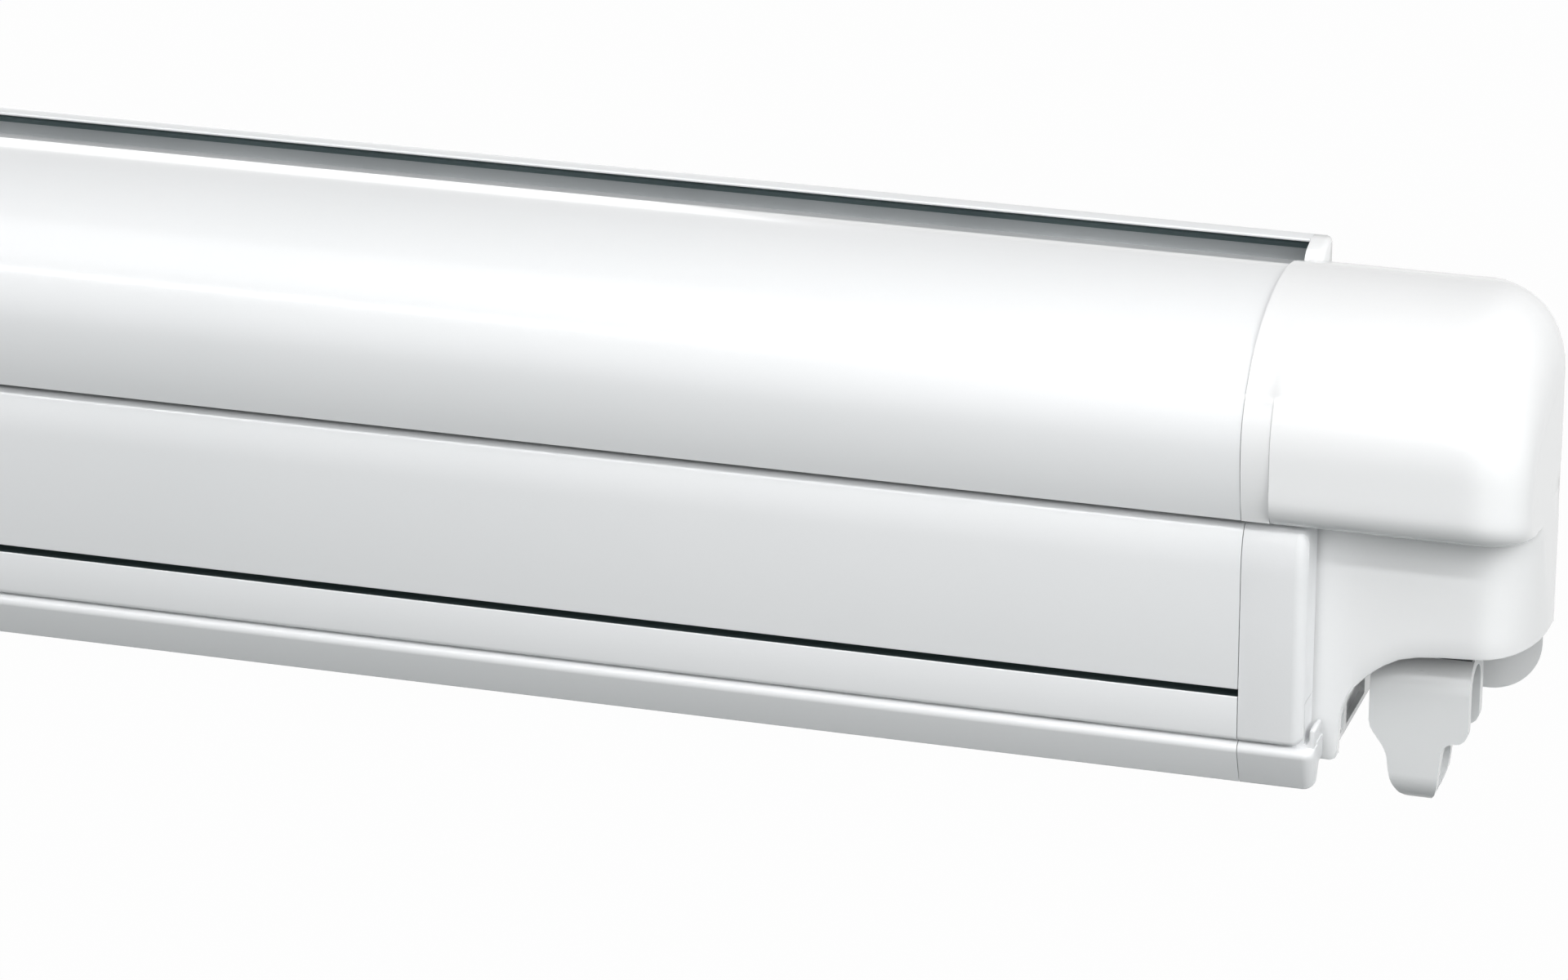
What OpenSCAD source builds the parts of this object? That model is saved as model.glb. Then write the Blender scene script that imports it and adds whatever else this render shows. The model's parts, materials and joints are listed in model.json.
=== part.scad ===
// Roll out awning for the side wall of a caravan or camper van: a long case with a fabric roller,
// two folding arms that push a lead bar forward, and two support legs stowed under the lead bar.
// X runs along the wall, the front looks to -Y, the wall is the plane y = 0.

/* [Case] */
// Half length of the case extrusion
case_half = 890; // [860:5:1200]
// Depth of the case from the wall to its nose
case_depth = 96; // [94:1:110]
// Wall of the case extrusion
case_wall = 2; // [1.6:0.1:2.4]
// Height of the ridge of the case
ridge_z = 58; // [58:1:66]
// How far the ridge lies in front of the roller axis
ridge_lead = 8; // [4:1:12]
// Height where the nose starts to curve back
nose_z = 25; // [18:1:28]
// Lower edge of the case front
lip_z = 5.5; // [5:0.5:8]
// Underside of the case floor
floor_z = -62; // [-66:1:-60]
// Depth of the case floor
floor_depth = 28; // [20:1:34]
// Distance between the wall screws
wall_screw_spacing = 1200; // [400:10:1500]
// Radius of the wall screw holes
wall_screw_r = 3.3; // [2.5:0.1:4.5]
// Height of the wall screws
wall_screw_z = -50; // [-54:0.5:-48]

/* [End caps] */
// Length of an end cap along X
cap_len = 72; // [70:1:90]
// Wall of an end cap
cap_wall = 2.5; // [2:0.1:3]
// How far the cap stands proud of its own flange
cap_step = 1; // [0.5:0.1:1.5]
// How far the lower cap body lies behind the nose
cap_low_setback = 18; // [16:1:19]
// Underside of the lower cap body at the front
cap_low_z = -33; // [-35:0.5:-32]

/* [Lead bar] */
// How far the lead bar lies behind the nose
bar_setback = 4; // [3:0.5:5]
// Depth of the lead bar
bar_depth = 26; // [24:0.5:27]
// Top of the lead bar
bar_top_z = 3; // [2:0.5:3]
// Floor of the closed upper box of the lead bar
bar_floor_z = -44; // [-46:0.5:-43]
// Lower edge of the front lip of the lead bar
bar_lip_z = -55.6; // [-57:0.1:-55]
// Length of a lead bar end cap
bar_cap_len = 17; // [16:0.5:18]
// Length of a leg tray end cap
tray_cap_len = 19.5; // [19:0.5:21]
// Height of the groove in the front face
groove_h = 1.8; // [1.4:0.1:2.2]
// Lower edge of the groove in the front face
groove_z = -43; // [-43:0.5:-38]
// Bottom of the leg tray
tray_bottom_z = -67; // [-69:0.5:-66]

/* [Roller and canopy] */
// Outer radius of the roller tube
roller_r = 22; // [20:0.5:23]
// Radius over the wound canopy
wound_r = 26; // [25.5:0.5:27]
// Distance of the roller axis from the wall
roller_y = -42; // [-42.5:0.5:-41]
// Height of the roller axis
roller_z = 27; // [26:0.5:29]
// Thickness of the canopy
canopy_t = 0.4; // [0.3:0.05:0.5]

/* [Arms] */
// Downward pitch of the arms and the canopy in degrees
pitch = 6; // [5:0.5:7]
// Distance of each shoulder pivot from the end of the case
shoulder_inset = 40; // [38:1:60]
// Distance of each elbow pivot from the middle of the case
elbow_gap = 70; // [60:1:100]
// Distance between the stowed upper arm and forearm
arm_spacing = 26; // [25:0.5:27]
// Width of an arm tube
arm_w = 20; // [18:0.5:21]
// Height of an arm tube
arm_h = 30; // [28:0.5:31]
// Wall of an arm tube
arm_wall = 2; // [1.6:0.1:2.4]
// Radius of the arm pins
arm_pin_r = 5; // [4:0.25:5.5]

/* [Legs] */
// Length of a stowed leg from its pivot to the end of its outer tube
leg_len = 980; // [600:5:980]
// Width and height of the outer leg tube
leg_w = 16; // [15:0.5:16]
// Wall of the outer leg tube
leg_wall = 1.2; // [1:0.1:1.4]
// Radius of the leg pins
leg_pin_r = 3.5; // [3:0.25:4]
// Distance of each leg pivot from the end of the case
leg_inset = 45; // [40:1:60]

/* [Winch] */
// Distance of the winch shaft from the end of the case
winch_dx = 42; // [41:0.5:43]
// Distance of the winch shaft from the wall
winch_y = -57.5; // [-58:0.5:-57]
// Teeth of the worm wheel
wheel_teeth = 14; // [12:1:16]
// Radius of the winch shaft
winch_r = 3.6; // [3.2:0.1:3.8]
// Radius of the hole in the crank eye
eye_hole_r = 6.5; // [6:0.25:7]

/* [Fits] */
// Radial clearance of a pin in a turning bore
pin_clear = 0.05; // [0.02:0.01:0.09]
// Clearance between moving faces
run_clear = 0.3; // [0.2:0.05:0.4]
// Clearance of a plug inside a tube
plug_clear = 0.2; // [0.1:0.05:0.3]

/* [Hidden] */
$fn = 48;

white = [0.93, 0.94, 0.95];
trim_white = [0.88, 0.89, 0.90];
alloy = [0.75, 0.76, 0.78];
steel = [0.62, 0.63, 0.65];
dark = [0.16, 0.17, 0.18];
cloth = [0.80, 0.81, 0.82];

// Case profile
ridge_y = roller_y - ridge_lead;
ridge_setback = ridge_y + case_depth;
crest_r = 40;
crest_fall = 20;
nose_tuck = 3;
lip_return = 7;
rail_y = -7.5;
rail_z = 45.4;
rail_r = 5.4;
rail_root_angle = 155;
rail_tip_angle = 408;
rail_lip_z = 51.2;
rail_lip_y = -4.8;
rail_lip_t = 0.8;
rail_plug_len = 2;
rail_plug_clear = 0.4;

// Cap outline
cap_end = case_half + cap_len;
cap_low_y = cap_low_setback - case_depth;
cap_edge_r = 9;
cap_back_fall = 4;
cap_flange = 7.5;
cap_lip_z = bar_top_z;
cap_rear_end = cap_len - 16;
cap_taper_y = -45;
cap_corner = 14;
cap_top_run = 18;
cap_top_drop = 22;
bar_cap_rear = bar_cap_len - 3;
cap_low_x = case_half + bar_cap_rear + 1.5;
cap_low_inset = 2;
cap_low_rise = 14;
cap_leg_z = -64;
cap_leg_w = 7;
cap_leg_straight = 12;
cap_leg_web = 3;
cap_arch_r = 20;
cap_tail_depth = 22;
cap_tail_round = 14;
cap_tail_reach = cap_rear_end + 2;

// Lead bar and tray
bar_front_y = bar_setback - case_depth;
bar_rear_y = bar_front_y + bar_depth;
bar_wall = 2;
bar_lip_t = 3;
bar_cap_step_y = cap_low_y - 2;
bar_round_y = 10;
bar_round_z = 12;
groove_depth = 8;
bead_r = 2.6;
bead_groove_r = bead_r + run_clear;
bead_y = bar_rear_y - 3.8;
bead_slot = 1.6;
bar_spigot_w = 12;
bar_spigot_gap = 1;
tray_wall = 1.8;
tray_front_y = bar_front_y + bar_lip_t + 0.5;
lane_w = leg_w + 1.6;
lane_front_y = tray_front_y + tray_wall + lane_w / 2;
rib_y = lane_front_y + lane_w / 2;
lane_rear_y = rib_y + tray_wall + lane_w / 2;
tray_rear_y = lane_rear_y + lane_w / 2 + tray_wall;
tray_skirt_z = tray_bottom_z + 3;
tray_strip_z = bar_lip_z - run_clear;
tray_round_y = tray_front_y + tray_wall - bar_front_y;
tray_round_z = 9;
tray_lip_d = 3;
tray_lip_h = 6.5;
leg_z = bar_floor_z - tray_wall - 0.8 - leg_w / 2;

// Roller
roller_end = case_half - 12;
plate_t = 3;
plate_clear = 0.1;
roller_wall = 1.5;
bush_r = 9;
bush_flange = 2;
stub_r = 6;
collar_t = 3;
stub_past_plate = 6;
stub_past_wheel = 4;
press_clear = 0.02;
module_mm = 2 * (roller_y - winch_y) / (wheel_teeth + 7.25);
wheel_r = module_mm * wheel_teeth / 2;
wheel_w = 3.5;
tooth_tip = module_mm * 0.8;
tooth_root = module_mm * 1.25;
worm_starts = 2;
worm_r = roller_y - winch_y - wheel_r;
worm_tip_r = worm_r + tooth_tip;
worm_lead = worm_starts * PI * module_mm;
worm_len = 24;
worm_bury = 0.2;
thread_half = 0.55;
thread_slope = tan(20);
tooth_tip_half = 0.3;
tooth_root_half = 0.8;
tooth_bury = 0.5;
canopy_half = case_half - 40;

// Point under the roller where the canopy leaves it, and the bead on the lead bar
leave_y = roller_y + (wound_r + canopy_t) * sin(pitch);
leave_z = roller_z - (wound_r + canopy_t) * cos(pitch);
bead_z = leave_z - (leave_y - bead_y) * tan(pitch);

// Arms
shoulder_y = -17;
shoulder_z = -20;
shoulder_x = case_half - shoulder_inset;
arm_len = shoulder_x - elbow_gap;
arm_corner = 3;
joint_gap = 22;
knuckle_r = 11;
knuckle_h = 20;
knuckle_neck = arm_w - 2;
ear_t = 4.7;
ear_in = knuckle_h / 2 + run_clear;
ear_out = ear_in + ear_t;
tongue_h = 17.4;
tongue_r = knuckle_r - 0.5;
fork_web = 4;
spigot_len = 30;
open_pivot_clear = 0.5;
arm_bore = arm_pin_r + pin_clear;
open_bore = arm_pin_r + open_pivot_clear;
bracket_w = 50;
bracket_t = 3;
pin_head = 2;
ear_low = 9;
spring_r = 6;
wrist_z = shoulder_z - arm_spacing * sin(pitch);
wrist_plate_h = 36;

// Legs
leg_x = case_half - leg_inset;
leg_gap = 12;
leg_corner = 1.5;
foot_corner = 2.5;
inner_w = leg_w - 2 * leg_wall - 2 * run_clear;
inner_short = 60;
inner_len = leg_len - inner_short;
foot_len = 14;

// Winch and crank eye
winch_x = case_half + winch_dx;
eye_pin_z = cap_low_z - 11;
eye_pin_r = 2.5;
eye_w = 26;
eye_d = 18;
eye_wall = 3.3;
eye_skin = 1.8;
eye_slot = 2 * winch_r + 1;
eye_top_z = cap_low_z - 5;
eye_ring_r = eye_d / 2;
eye_ring_z = eye_pin_z - 26;
eye_ring_w = 13;
eye_neck_z = eye_pin_z - 12.5;
eye_neck_h = 7.5;
eye_rear_z = eye_pin_z - 16;
housing_w = 30;
housing_top_z = cap_lip_z + 4;
shaft_top_z = roller_z + 16;
shaft_collar = 2;

// Screws of the end caps
screw_r = 2;
screw_len = 14;
screw_head = 2.5;
screw_y = [16 - case_depth, -20];
screw_z = 16;
boss_r = 4.5;
boss_len = 16;
boss_rib = 3;

// Points on an ellipse
function arc(cy, cz, ry, rz, from, to, steps = 12) =
    [for (i = [0:steps]) let (a = from + (to - from) * i / steps) [cy + ry * cos(a), cz + rz * sin(a)]];

// Outer top of the case from the lower front edge to the end of the rear slope
function case_top(lift, low) = concat(
    [for (i = [0:3]) let (t = 1 - i / 4) [nose_tuck * t * t - case_depth - lift, nose_z + (low - nose_z) * t]],
    nose_curve(lift));

// The same with a rounded lower front edge
function bulge_top(lift, low, r) = concat(
    arc(r - case_depth - lift, low + r, r, r, 270, 180, 6),
    nose_curve(lift));

function nose_curve(lift) = concat(
    arc(ridge_y, nose_z, ridge_setback + lift, ridge_z - nose_z + lift, 180, 90),
    arc(ridge_y, ridge_z - crest_r, crest_r + lift, crest_r + lift, 90, 90 - crest_fall, 4));

// A flat outline in y and z, drawn out along X
module along_x(from, to) {
    translate([from, 0, 0]) rotate([90, 0, 90]) linear_extrude(to - from) children();
}

// A flat outline in x and z, drawn out along Y
module along_y(from, to) {
    translate([0, to, 0]) rotate([90, 0, 0]) linear_extrude(to - from) children();
}

// A piece and its mirror image at the other end of the awning
module both() {
    children();
    mirror([1, 0, 0]) children();
}

// A rectangle with round corners, centred
module round_rect(w, h, r) {
    polygon(concat(arc(w / 2 - r, h / 2 - r, r, r, 0, 90, 4), arc(r - w / 2, h / 2 - r, r, r, 90, 180, 4),
        arc(r - w / 2, r - h / 2, r, r, 180, 270, 4), arc(w / 2 - r, r - h / 2, r, r, 270, 360, 4)));
}

// Case
module case_profile() {
    inner_top = case_top(-case_wall, lip_z + case_wall);
    back_in = rail_z - rail_r - case_wall;
    root_in = rail_y - rail_r - case_wall;
    slope_from = [ridge_y + crest_r * sin(crest_fall), ridge_z - crest_r + crest_r * cos(crest_fall)];
    slope_to = [rail_y + rail_r * cos(rail_root_angle), rail_z + rail_r * sin(rail_root_angle)];
    slope_fall = atan2(slope_from[1] - slope_to[1], slope_to[0] - slope_from[0]);
    root_in_z = slope_to[1] + (slope_to[0] - root_in) * tan(slope_fall) - case_wall / cos(slope_fall);
    polygon(concat(case_top(0, lip_z),
        arc(rail_y, rail_z, rail_r, rail_r, rail_root_angle, rail_tip_angle, 20),
        [[rail_y + rail_r * cos(rail_tip_angle), rail_lip_z - rail_lip_t], [rail_lip_y, rail_lip_z - rail_lip_t],
         [rail_lip_y, rail_lip_z], [0, rail_lip_z], [0, floor_z],
         [-floor_depth, floor_z], [-floor_depth, floor_z + case_wall], [-case_wall, floor_z + case_wall],
         [-case_wall, back_in], [root_in, back_in], [root_in, root_in_z]],
        [for (i = [len(inner_top) - 1:-1:0]) inner_top[i]],
        [[lip_return - case_depth, lip_z + case_wall], [lip_return - case_depth, lip_z]]));
}

module case_shell() {
    color(white) difference() {
        along_x(-case_half, case_half) case_profile();
        for (side = [1, -1]) translate([side * wall_screw_spacing / 2, 0, wall_screw_z]) rotate([90, 0, 0])
            cylinder(r = wall_screw_r, h = 4 * case_wall, center = true);
    }
}

module rail_end_plugs() {
    color(white) both() along_x(case_half, case_half + rail_plug_len) {
        translate([rail_y, rail_z]) circle(rail_r - rail_plug_clear);
        translate([rail_y, rail_z]) square([-rail_y, rail_lip_z - rail_z]);
    }
}

// End caps
module cap_plan(inset, back) {
    right = cap_len - inset;
    front = -case_depth - cap_step + inset;
    corner = cap_corner - inset / 2;
    step = inset > 0 ? 0 : cap_step;
    polygon(concat([[0, back], [cap_rear_end - inset, back], [right, cap_taper_y]],
        arc(right - corner, front + corner, corner, corner, 360, 270, 8),
        [[cap_flange, front], [cap_flange, front + step], [0, front + step]]));
}

module cap_bulge(inset) {
    intersection() {
        along_x(case_half, cap_end - inset) polygon(concat(
            bulge_top(cap_step - inset, cap_lip_z + inset, cap_edge_r - inset),
            [[rail_y - rail_r - inset / 2, rail_z - inset], [-inset, rail_z - cap_back_fall - inset],
             [-inset, cap_lip_z + inset]]));
        translate([case_half, 0, cap_lip_z]) linear_extrude(ridge_z + cap_step) cap_plan(inset, -inset);
        along_y(-case_depth - cap_step, 0) translate([case_half, 0]) polygon(concat(
            [[0, cap_lip_z], [cap_len - inset, cap_lip_z]],
            arc(cap_len - cap_top_run, ridge_z + cap_step - cap_top_drop, cap_top_run - inset,
                cap_top_drop - inset, 0, 90, 8), [[0, ridge_z + cap_step - inset]]));
    }
}

module cap_low_plan(inset) {
    left = cap_low_x - case_half + inset;
    right = cap_len - cap_low_inset - inset;
    front = cap_low_y + inset;
    corner = cap_corner - inset / 2;
    polygon(concat([[left, -inset], [cap_rear_end - cap_low_inset - inset, -inset], [right, cap_taper_y]],
        arc(right - corner, front + corner, corner, corner, 360, 270, 8), [[left, front]]));
}

// Space under the lower cap body: an arch beside the front leg, then an edge that falls to the rear
module cap_arch() {
    arch_z = cap_leg_z + cap_leg_straight;
    intersection() {
        along_y(cap_low_y - 1, -cap_tail_depth) translate([cap_low_x, 0]) polygon(concat(
            [[cap_leg_w, cap_leg_z - 9], [cap_leg_w, arch_z]],
            arc(cap_leg_w + cap_arch_r, arch_z, cap_arch_r, cap_low_z - arch_z, 180, 90, 8),
            [[cap_leg_w + cap_arch_r, 0], [cap_len, 0], [cap_len, cap_leg_z - 9]]));
        along_x(case_half, cap_end + 1) polygon([[cap_low_y - 2, cap_leg_z - 8], [cap_low_y - 2, cap_low_z],
            [cap_low_y, cap_low_z], [0, cap_low_z - cap_low_rise], [0, cap_leg_z - 8]]);
    }
}

module cap_low_body() {
    difference() {
        translate([case_half, 0, cap_leg_z]) linear_extrude(cap_lip_z + 1 - cap_leg_z) difference() {
            cap_low_plan(0);
            cap_low_plan(cap_wall);
        }
        cap_arch();
    }
    translate([cap_low_x + cap_wall - 1, cap_low_y + cap_wall - 1, cap_leg_z])
        cube([cap_leg_web + 1, -cap_tail_depth - cap_low_y - cap_wall + 2, cap_low_z - cap_leg_z]);
}

// Tail that closes the end of the case floor, hollow and open towards the case
module cap_tail() {
    difference() {
        along_y(-cap_tail_depth, 0) translate([case_half, 0]) polygon(concat(
            [[0, cap_lip_z + 1], [0, floor_z]],
            arc(cap_tail_reach - cap_tail_round, floor_z + cap_tail_round, cap_tail_round,
                cap_tail_round, 270, 360, 6),
            [[cap_tail_reach, cap_lip_z + 1]]));
        along_y(cap_wall - cap_tail_depth, -cap_wall) translate([case_half, 0]) polygon(concat(
            [[-1, cap_lip_z + 2], [-1, floor_z + cap_wall]],
            arc(cap_tail_reach - cap_tail_round, floor_z + cap_tail_round, cap_tail_round - cap_wall,
                cap_tail_round - cap_wall, 270, 360, 6), [[cap_tail_reach - cap_wall, cap_lip_z + 2]]));
    }
}

// Axes of the screws that hold the right end cap to its end plate
module screw_axes() {
    for (y = screw_y) translate([case_half, y, screw_z]) rotate([0, 90, 0]) children();
}

module end_cap() {
    difference() {
        union() {
            difference() {
                cap_bulge(0);
                cap_bulge(cap_wall);
            }
            cap_low_body();
            cap_tail();
        }
        translate([case_half, 0, cap_lip_z - 1]) linear_extrude(cap_wall + 2) cap_low_plan(cap_wall);
        translate([case_half - 1, rail_y - rail_r - run_clear, rail_z - rail_r - 1])
            cube([rail_plug_len + 1 + run_clear, 3 * rail_r, 3 * rail_r]);
    }
    screw_axes() translate([0, 0, plate_t]) difference() {
        cylinder(r = boss_r, h = boss_len);
        translate([0, 0, -1]) cylinder(r = screw_r + pin_clear, h = screw_len);
    }
    for (y = screw_y) translate([case_half + plate_t, y - boss_rib / 2, cap_lip_z + 1])
        cube([boss_len, boss_rib, screw_z - boss_r + 1 - cap_lip_z - 1]);
}

module right_end_cap() {
    color(white) end_cap();
}

module left_end_cap() {
    color(white) mirror([1, 0, 0]) end_cap();
}

module end_cap_screws() {
    color(steel) both() screw_axes() {
        translate([0, 0, -screw_head]) cylinder(r = 2 * screw_r, h = screw_head);
        cylinder(r = screw_r, h = screw_len);
    }
}

// Plate across the end of the case, which carries the roller
module end_plate() {
    difference() {
        along_x(case_half, case_half + plate_t) polygon(concat(
            bulge_top(cap_step - cap_wall - plate_clear, cap_lip_z + cap_wall + plate_clear,
                cap_edge_r - cap_wall),
            [[rail_y - rail_r - cap_wall, rail_z - rail_r - cap_wall],
             [-cap_wall - plate_clear, rail_z - rail_r - cap_wall],
             [-cap_wall - plate_clear, cap_lip_z + cap_wall + plate_clear]]));
        translate([case_half, roller_y, roller_z]) rotate([0, 90, 0])
            cylinder(r = bush_r, h = 3 * plate_t, center = true);
        screw_axes() cylinder(r = screw_r + pin_clear, h = 3 * plate_t, center = true);
    }
}

module right_end_plate() {
    color(steel) end_plate();
}

module left_end_plate() {
    color(steel) mirror([1, 0, 0]) end_plate();
}

module roller_bushes() {
    color(dark) both() translate([case_half, roller_y, roller_z]) rotate([0, 90, 0]) difference() {
        union() {
            cylinder(r = bush_r, h = plate_t + bush_flange);
            translate([0, 0, plate_t]) cylinder(r = bush_r + bush_flange, h = bush_flange);
        }
        cylinder(r = stub_r + pin_clear, h = 2 * bush_r, center = true);
    }
}

// Roller
module at_roller(x) {
    translate([x, roller_y, roller_z]) rotate([0, 90, 0]) children();
}

module roller_tube() {
    color(alloy) at_roller(-roller_end) difference() {
        cylinder(r = roller_r, h = 2 * roller_end);
        translate([0, 0, -1]) cylinder(r = roller_r - roller_wall, h = 2 * roller_end + 2);
    }
}

// Plug in the end of the roller tube, with a collar and a stub shaft
module roller_plug(stub) {
    at_roller(roller_end) {
        translate([0, 0, -spigot_len]) cylinder(r = roller_r - roller_wall - plug_clear, h = spigot_len);
        cylinder(r = roller_r, h = collar_t);
        cylinder(r = stub_r, h = case_half - roller_end + stub);
    }
}

module right_roller_plug() {
    color(dark) roller_plug(winch_dx + wheel_w / 2 + stub_past_wheel);
}

module left_roller_plug() {
    color(dark) mirror([1, 0, 0]) roller_plug(plate_t + stub_past_plate);
}

// Tooth of the worm wheel as a flat trapezium
module wheel_tooth() {
    root = wheel_r - tooth_root - tooth_bury;
    polygon([[root, -tooth_root_half], [wheel_r + tooth_tip, -tooth_tip_half],
        [wheel_r + tooth_tip, tooth_tip_half], [root, tooth_root_half]]);
}

module worm_wheel() {
    color([0.72, 0.6, 0.35]) at_roller(winch_x - wheel_w / 2) difference() {
        linear_extrude(wheel_w) {
            circle(wheel_r - tooth_root);
            for (i = [0:wheel_teeth - 1]) rotate(i * 360 / wheel_teeth) wheel_tooth();
        }
        translate([0, 0, -1]) cylinder(r = stub_r + press_clear, h = wheel_w + 2);
    }
}

// Canopy
module canopy_roll() {
    color(cloth) at_roller(-canopy_half) difference() {
        cylinder(r = wound_r, h = 2 * canopy_half);
        translate([0, 0, -1]) cylinder(r = roller_r + press_clear, h = 2 * canopy_half + 2);
    }
}

module canopy_sheet() {
    length = (leave_y - bead_y) / cos(pitch) - bead_r - run_clear;
    color(cloth) translate([-canopy_half, leave_y, leave_z]) rotate([pitch, 0, 0])
        translate([0, -length, -canopy_t / 2]) cube([2 * canopy_half, length, canopy_t]);
}

module front_bead() {
    color(cloth) translate([-canopy_half, bead_y, bead_z]) rotate([0, 90, 0])
        cylinder(r = bead_r, h = 2 * canopy_half);
}

// Lead bar
function bar_outer() = concat(
    arc(bar_front_y + bar_round_y, bar_top_z - bar_round_z, bar_round_y, bar_round_z, 180, 90, 8),
    [[bar_rear_y, bar_top_z], [bar_rear_y, bar_floor_z]]);

function bar_front() = [[bar_front_y + bar_lip_t, bar_floor_z], [bar_front_y + bar_lip_t, bar_lip_z],
    [bar_front_y, bar_lip_z]];

module bar_hollow() {
    polygon(concat(
        arc(bar_front_y + bar_round_y, bar_top_z - bar_round_z, bar_round_y - bar_wall, bar_round_z - bar_wall,
            180, 90, 8),
        [[bead_y - bead_groove_r - bar_wall, bar_top_z - bar_wall],
         [bead_y - bead_groove_r - bar_wall, bead_z - bead_groove_r - bar_wall],
         [bar_rear_y - bar_wall, bead_z - bead_groove_r - bar_wall],
         [bar_rear_y - bar_wall, bar_floor_z + bar_wall],
         [bar_front_y + groove_depth + bar_wall, bar_floor_z + bar_wall],
         [bar_front_y + groove_depth + bar_wall, groove_z + groove_h + bar_wall],
         [bar_front_y + bar_wall, groove_z + groove_h + bar_wall]]));
}

module lead_bar() {
    color(white) along_x(-case_half, case_half) difference() {
        polygon(concat(bar_outer(), bar_front()));
        bar_hollow();
        translate([bar_front_y - 1, groove_z]) square([groove_depth + 1, groove_h]);
        translate([bead_y, bead_z]) circle(bead_groove_r);
        translate([bead_y, bead_z - bead_slot / 2]) square([bar_depth, bead_slot]);
    }
}

// Room beside the rear of the lead bar caps, where the lower body of the end cap stands
module cap_room() {
    translate([case_half + bar_cap_rear, bar_cap_step_y, tray_bottom_z - 1])
        cube([bar_cap_len, bar_depth + leg_w * 2, bar_top_z - tray_bottom_z + 2]);
}

module bar_cap() {
    difference() {
        along_x(case_half, case_half + bar_cap_len) polygon(concat(bar_outer(), bar_front()));
        cap_room();
    }
    intersection() {
        along_x(case_half - spigot_len, case_half) bar_hollow();
        translate([case_half - spigot_len, bar_front_y + bar_wall + plug_clear,
                   groove_z + groove_h + bar_wall + bar_spigot_gap])
            cube([spigot_len, bar_spigot_w, bar_round_z]);
    }
}

module right_bar_cap() {
    color(trim_white) bar_cap();
}

module left_bar_cap() {
    color(trim_white) mirror([1, 0, 0]) bar_cap();
}

// Leg tray under the lead bar, open below, with a lane for each leg
function tray_front() = concat([[tray_front_y + tray_wall, tray_bottom_z]],
    arc(bar_front_y + tray_round_y, tray_bottom_z + tray_round_z, tray_round_y, tray_round_z, 264, 180, 8),
    [[bar_front_y, tray_strip_z], [tray_front_y, tray_strip_z], [tray_front_y, bar_floor_z]]);

module leg_tray() {
    roof_in = bar_floor_z - tray_wall;
    color(white) difference() {
        along_x(-case_half, case_half) polygon(concat(tray_front(),
            [[tray_rear_y, bar_floor_z], [tray_rear_y, tray_skirt_z], [tray_rear_y - tray_wall, tray_skirt_z],
             [tray_rear_y - tray_wall, roof_in], [rib_y + tray_wall, roof_in],
             [rib_y + tray_wall, tray_skirt_z], [rib_y, tray_skirt_z], [rib_y, roof_in], [tray_front_y + tray_wall, roof_in]]));
        for (side = [1, -1]) leg_pin(side, leg_pin_r + pin_clear);
    }
}

// Cap of the leg tray, with a lip that rises beside the cap of the lead bar
module tray_cap() {
    difference() {
        along_x(case_half, case_half + tray_cap_len) polygon(concat(tray_front(),
            [[tray_rear_y, bar_floor_z], [tray_rear_y, tray_skirt_z],
             [tray_front_y + 3 * tray_wall, tray_skirt_z]]));
        cap_room();
    }
    translate([case_half + bar_cap_len + run_clear, bar_front_y + 1, tray_strip_z - 1])
        cube([tray_cap_len - bar_cap_len - run_clear, tray_lip_d, tray_lip_h + 1]);
}

module right_tray_cap() {
    color(trim_white) tray_cap();
}

module left_tray_cap() {
    color(trim_white) mirror([1, 0, 0]) tray_cap();
}

// Pin of a leg: the right leg lies in the front lane, the left leg in the rear lane
function lane_y(side) = side > 0 ? lane_front_y : lane_rear_y;

module leg_pin(side, r) {
    translate([side * leg_x, lane_y(side), leg_z]) rotate([90, 0, 0])
        cylinder(r = r, h = lane_w + 2 * tray_wall, center = true);
}

module leg_pins() {
    color(steel) for (side = [1, -1]) leg_pin(side, leg_pin_r);
}

// Legs, drawn for the right side with the leg pointing to -X
module at_leg(side) {
    translate([side * leg_x, lane_y(side), leg_z]) mirror([side > 0 ? 0 : 1, 0, 0]) children();
}

module leg_knuckle(side) {
    color(dark) at_leg(side) difference() {
        union() {
            rotate([90, 0, 0]) cylinder(d = leg_w, h = leg_w, center = true);
            translate([-leg_gap, -leg_w / 2, -leg_w / 2]) cube([leg_gap, leg_w, leg_w]);
            translate([-leg_gap - spigot_len, -inner_w / 2, -inner_w / 2])
                cube([spigot_len, inner_w, inner_w]);
        }
        rotate([90, 0, 0]) cylinder(r = leg_pin_r + pin_clear, h = 2 * leg_w, center = true);
    }
}

module leg_tube(side) {
    color(alloy) at_leg(side) along_x(-leg_len, -leg_gap) difference() {
        round_rect(leg_w, leg_w, leg_corner);
        square(leg_w - 2 * leg_wall, center = true);
    }
}

module leg_inner(side) {
    color(alloy) at_leg(side) along_x(-leg_len, -leg_len + inner_len) difference() {
        square(inner_w, center = true);
        square(inner_w - 2 * leg_wall, center = true);
    }
}

module foot(side) {
    color(dark) at_leg(side) along_x(-leg_len - foot_len, -leg_len) round_rect(leg_w, leg_w, foot_corner);
}

// Arms, drawn in their tilted plane with the shoulder pivot at the origin and the arm pointing to -X
module at_arm(side) {
    translate([side * shoulder_x, shoulder_y, shoulder_z]) mirror([side > 0 ? 0 : 1, 0, 0])
        rotate([pitch, 0, 0]) children();
}

module arm_tube(y) {
    translate([0, y, 0]) along_x(-arm_len + joint_gap, -joint_gap) difference() {
        round_rect(arm_w, arm_h, arm_corner);
        square([arm_w - 2 * arm_wall, arm_h - 2 * arm_wall], center = true);
    }
}

// Plug that fills the end of an arm tube, from x to x + spigot_len
module arm_spigot(x, y) {
    w = arm_w - 2 * (arm_wall + plug_clear);
    h = arm_h - 2 * (arm_wall + plug_clear);
    translate([x, y - w / 2, -h / 2]) cube([spigot_len, w, h]);
}

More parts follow.
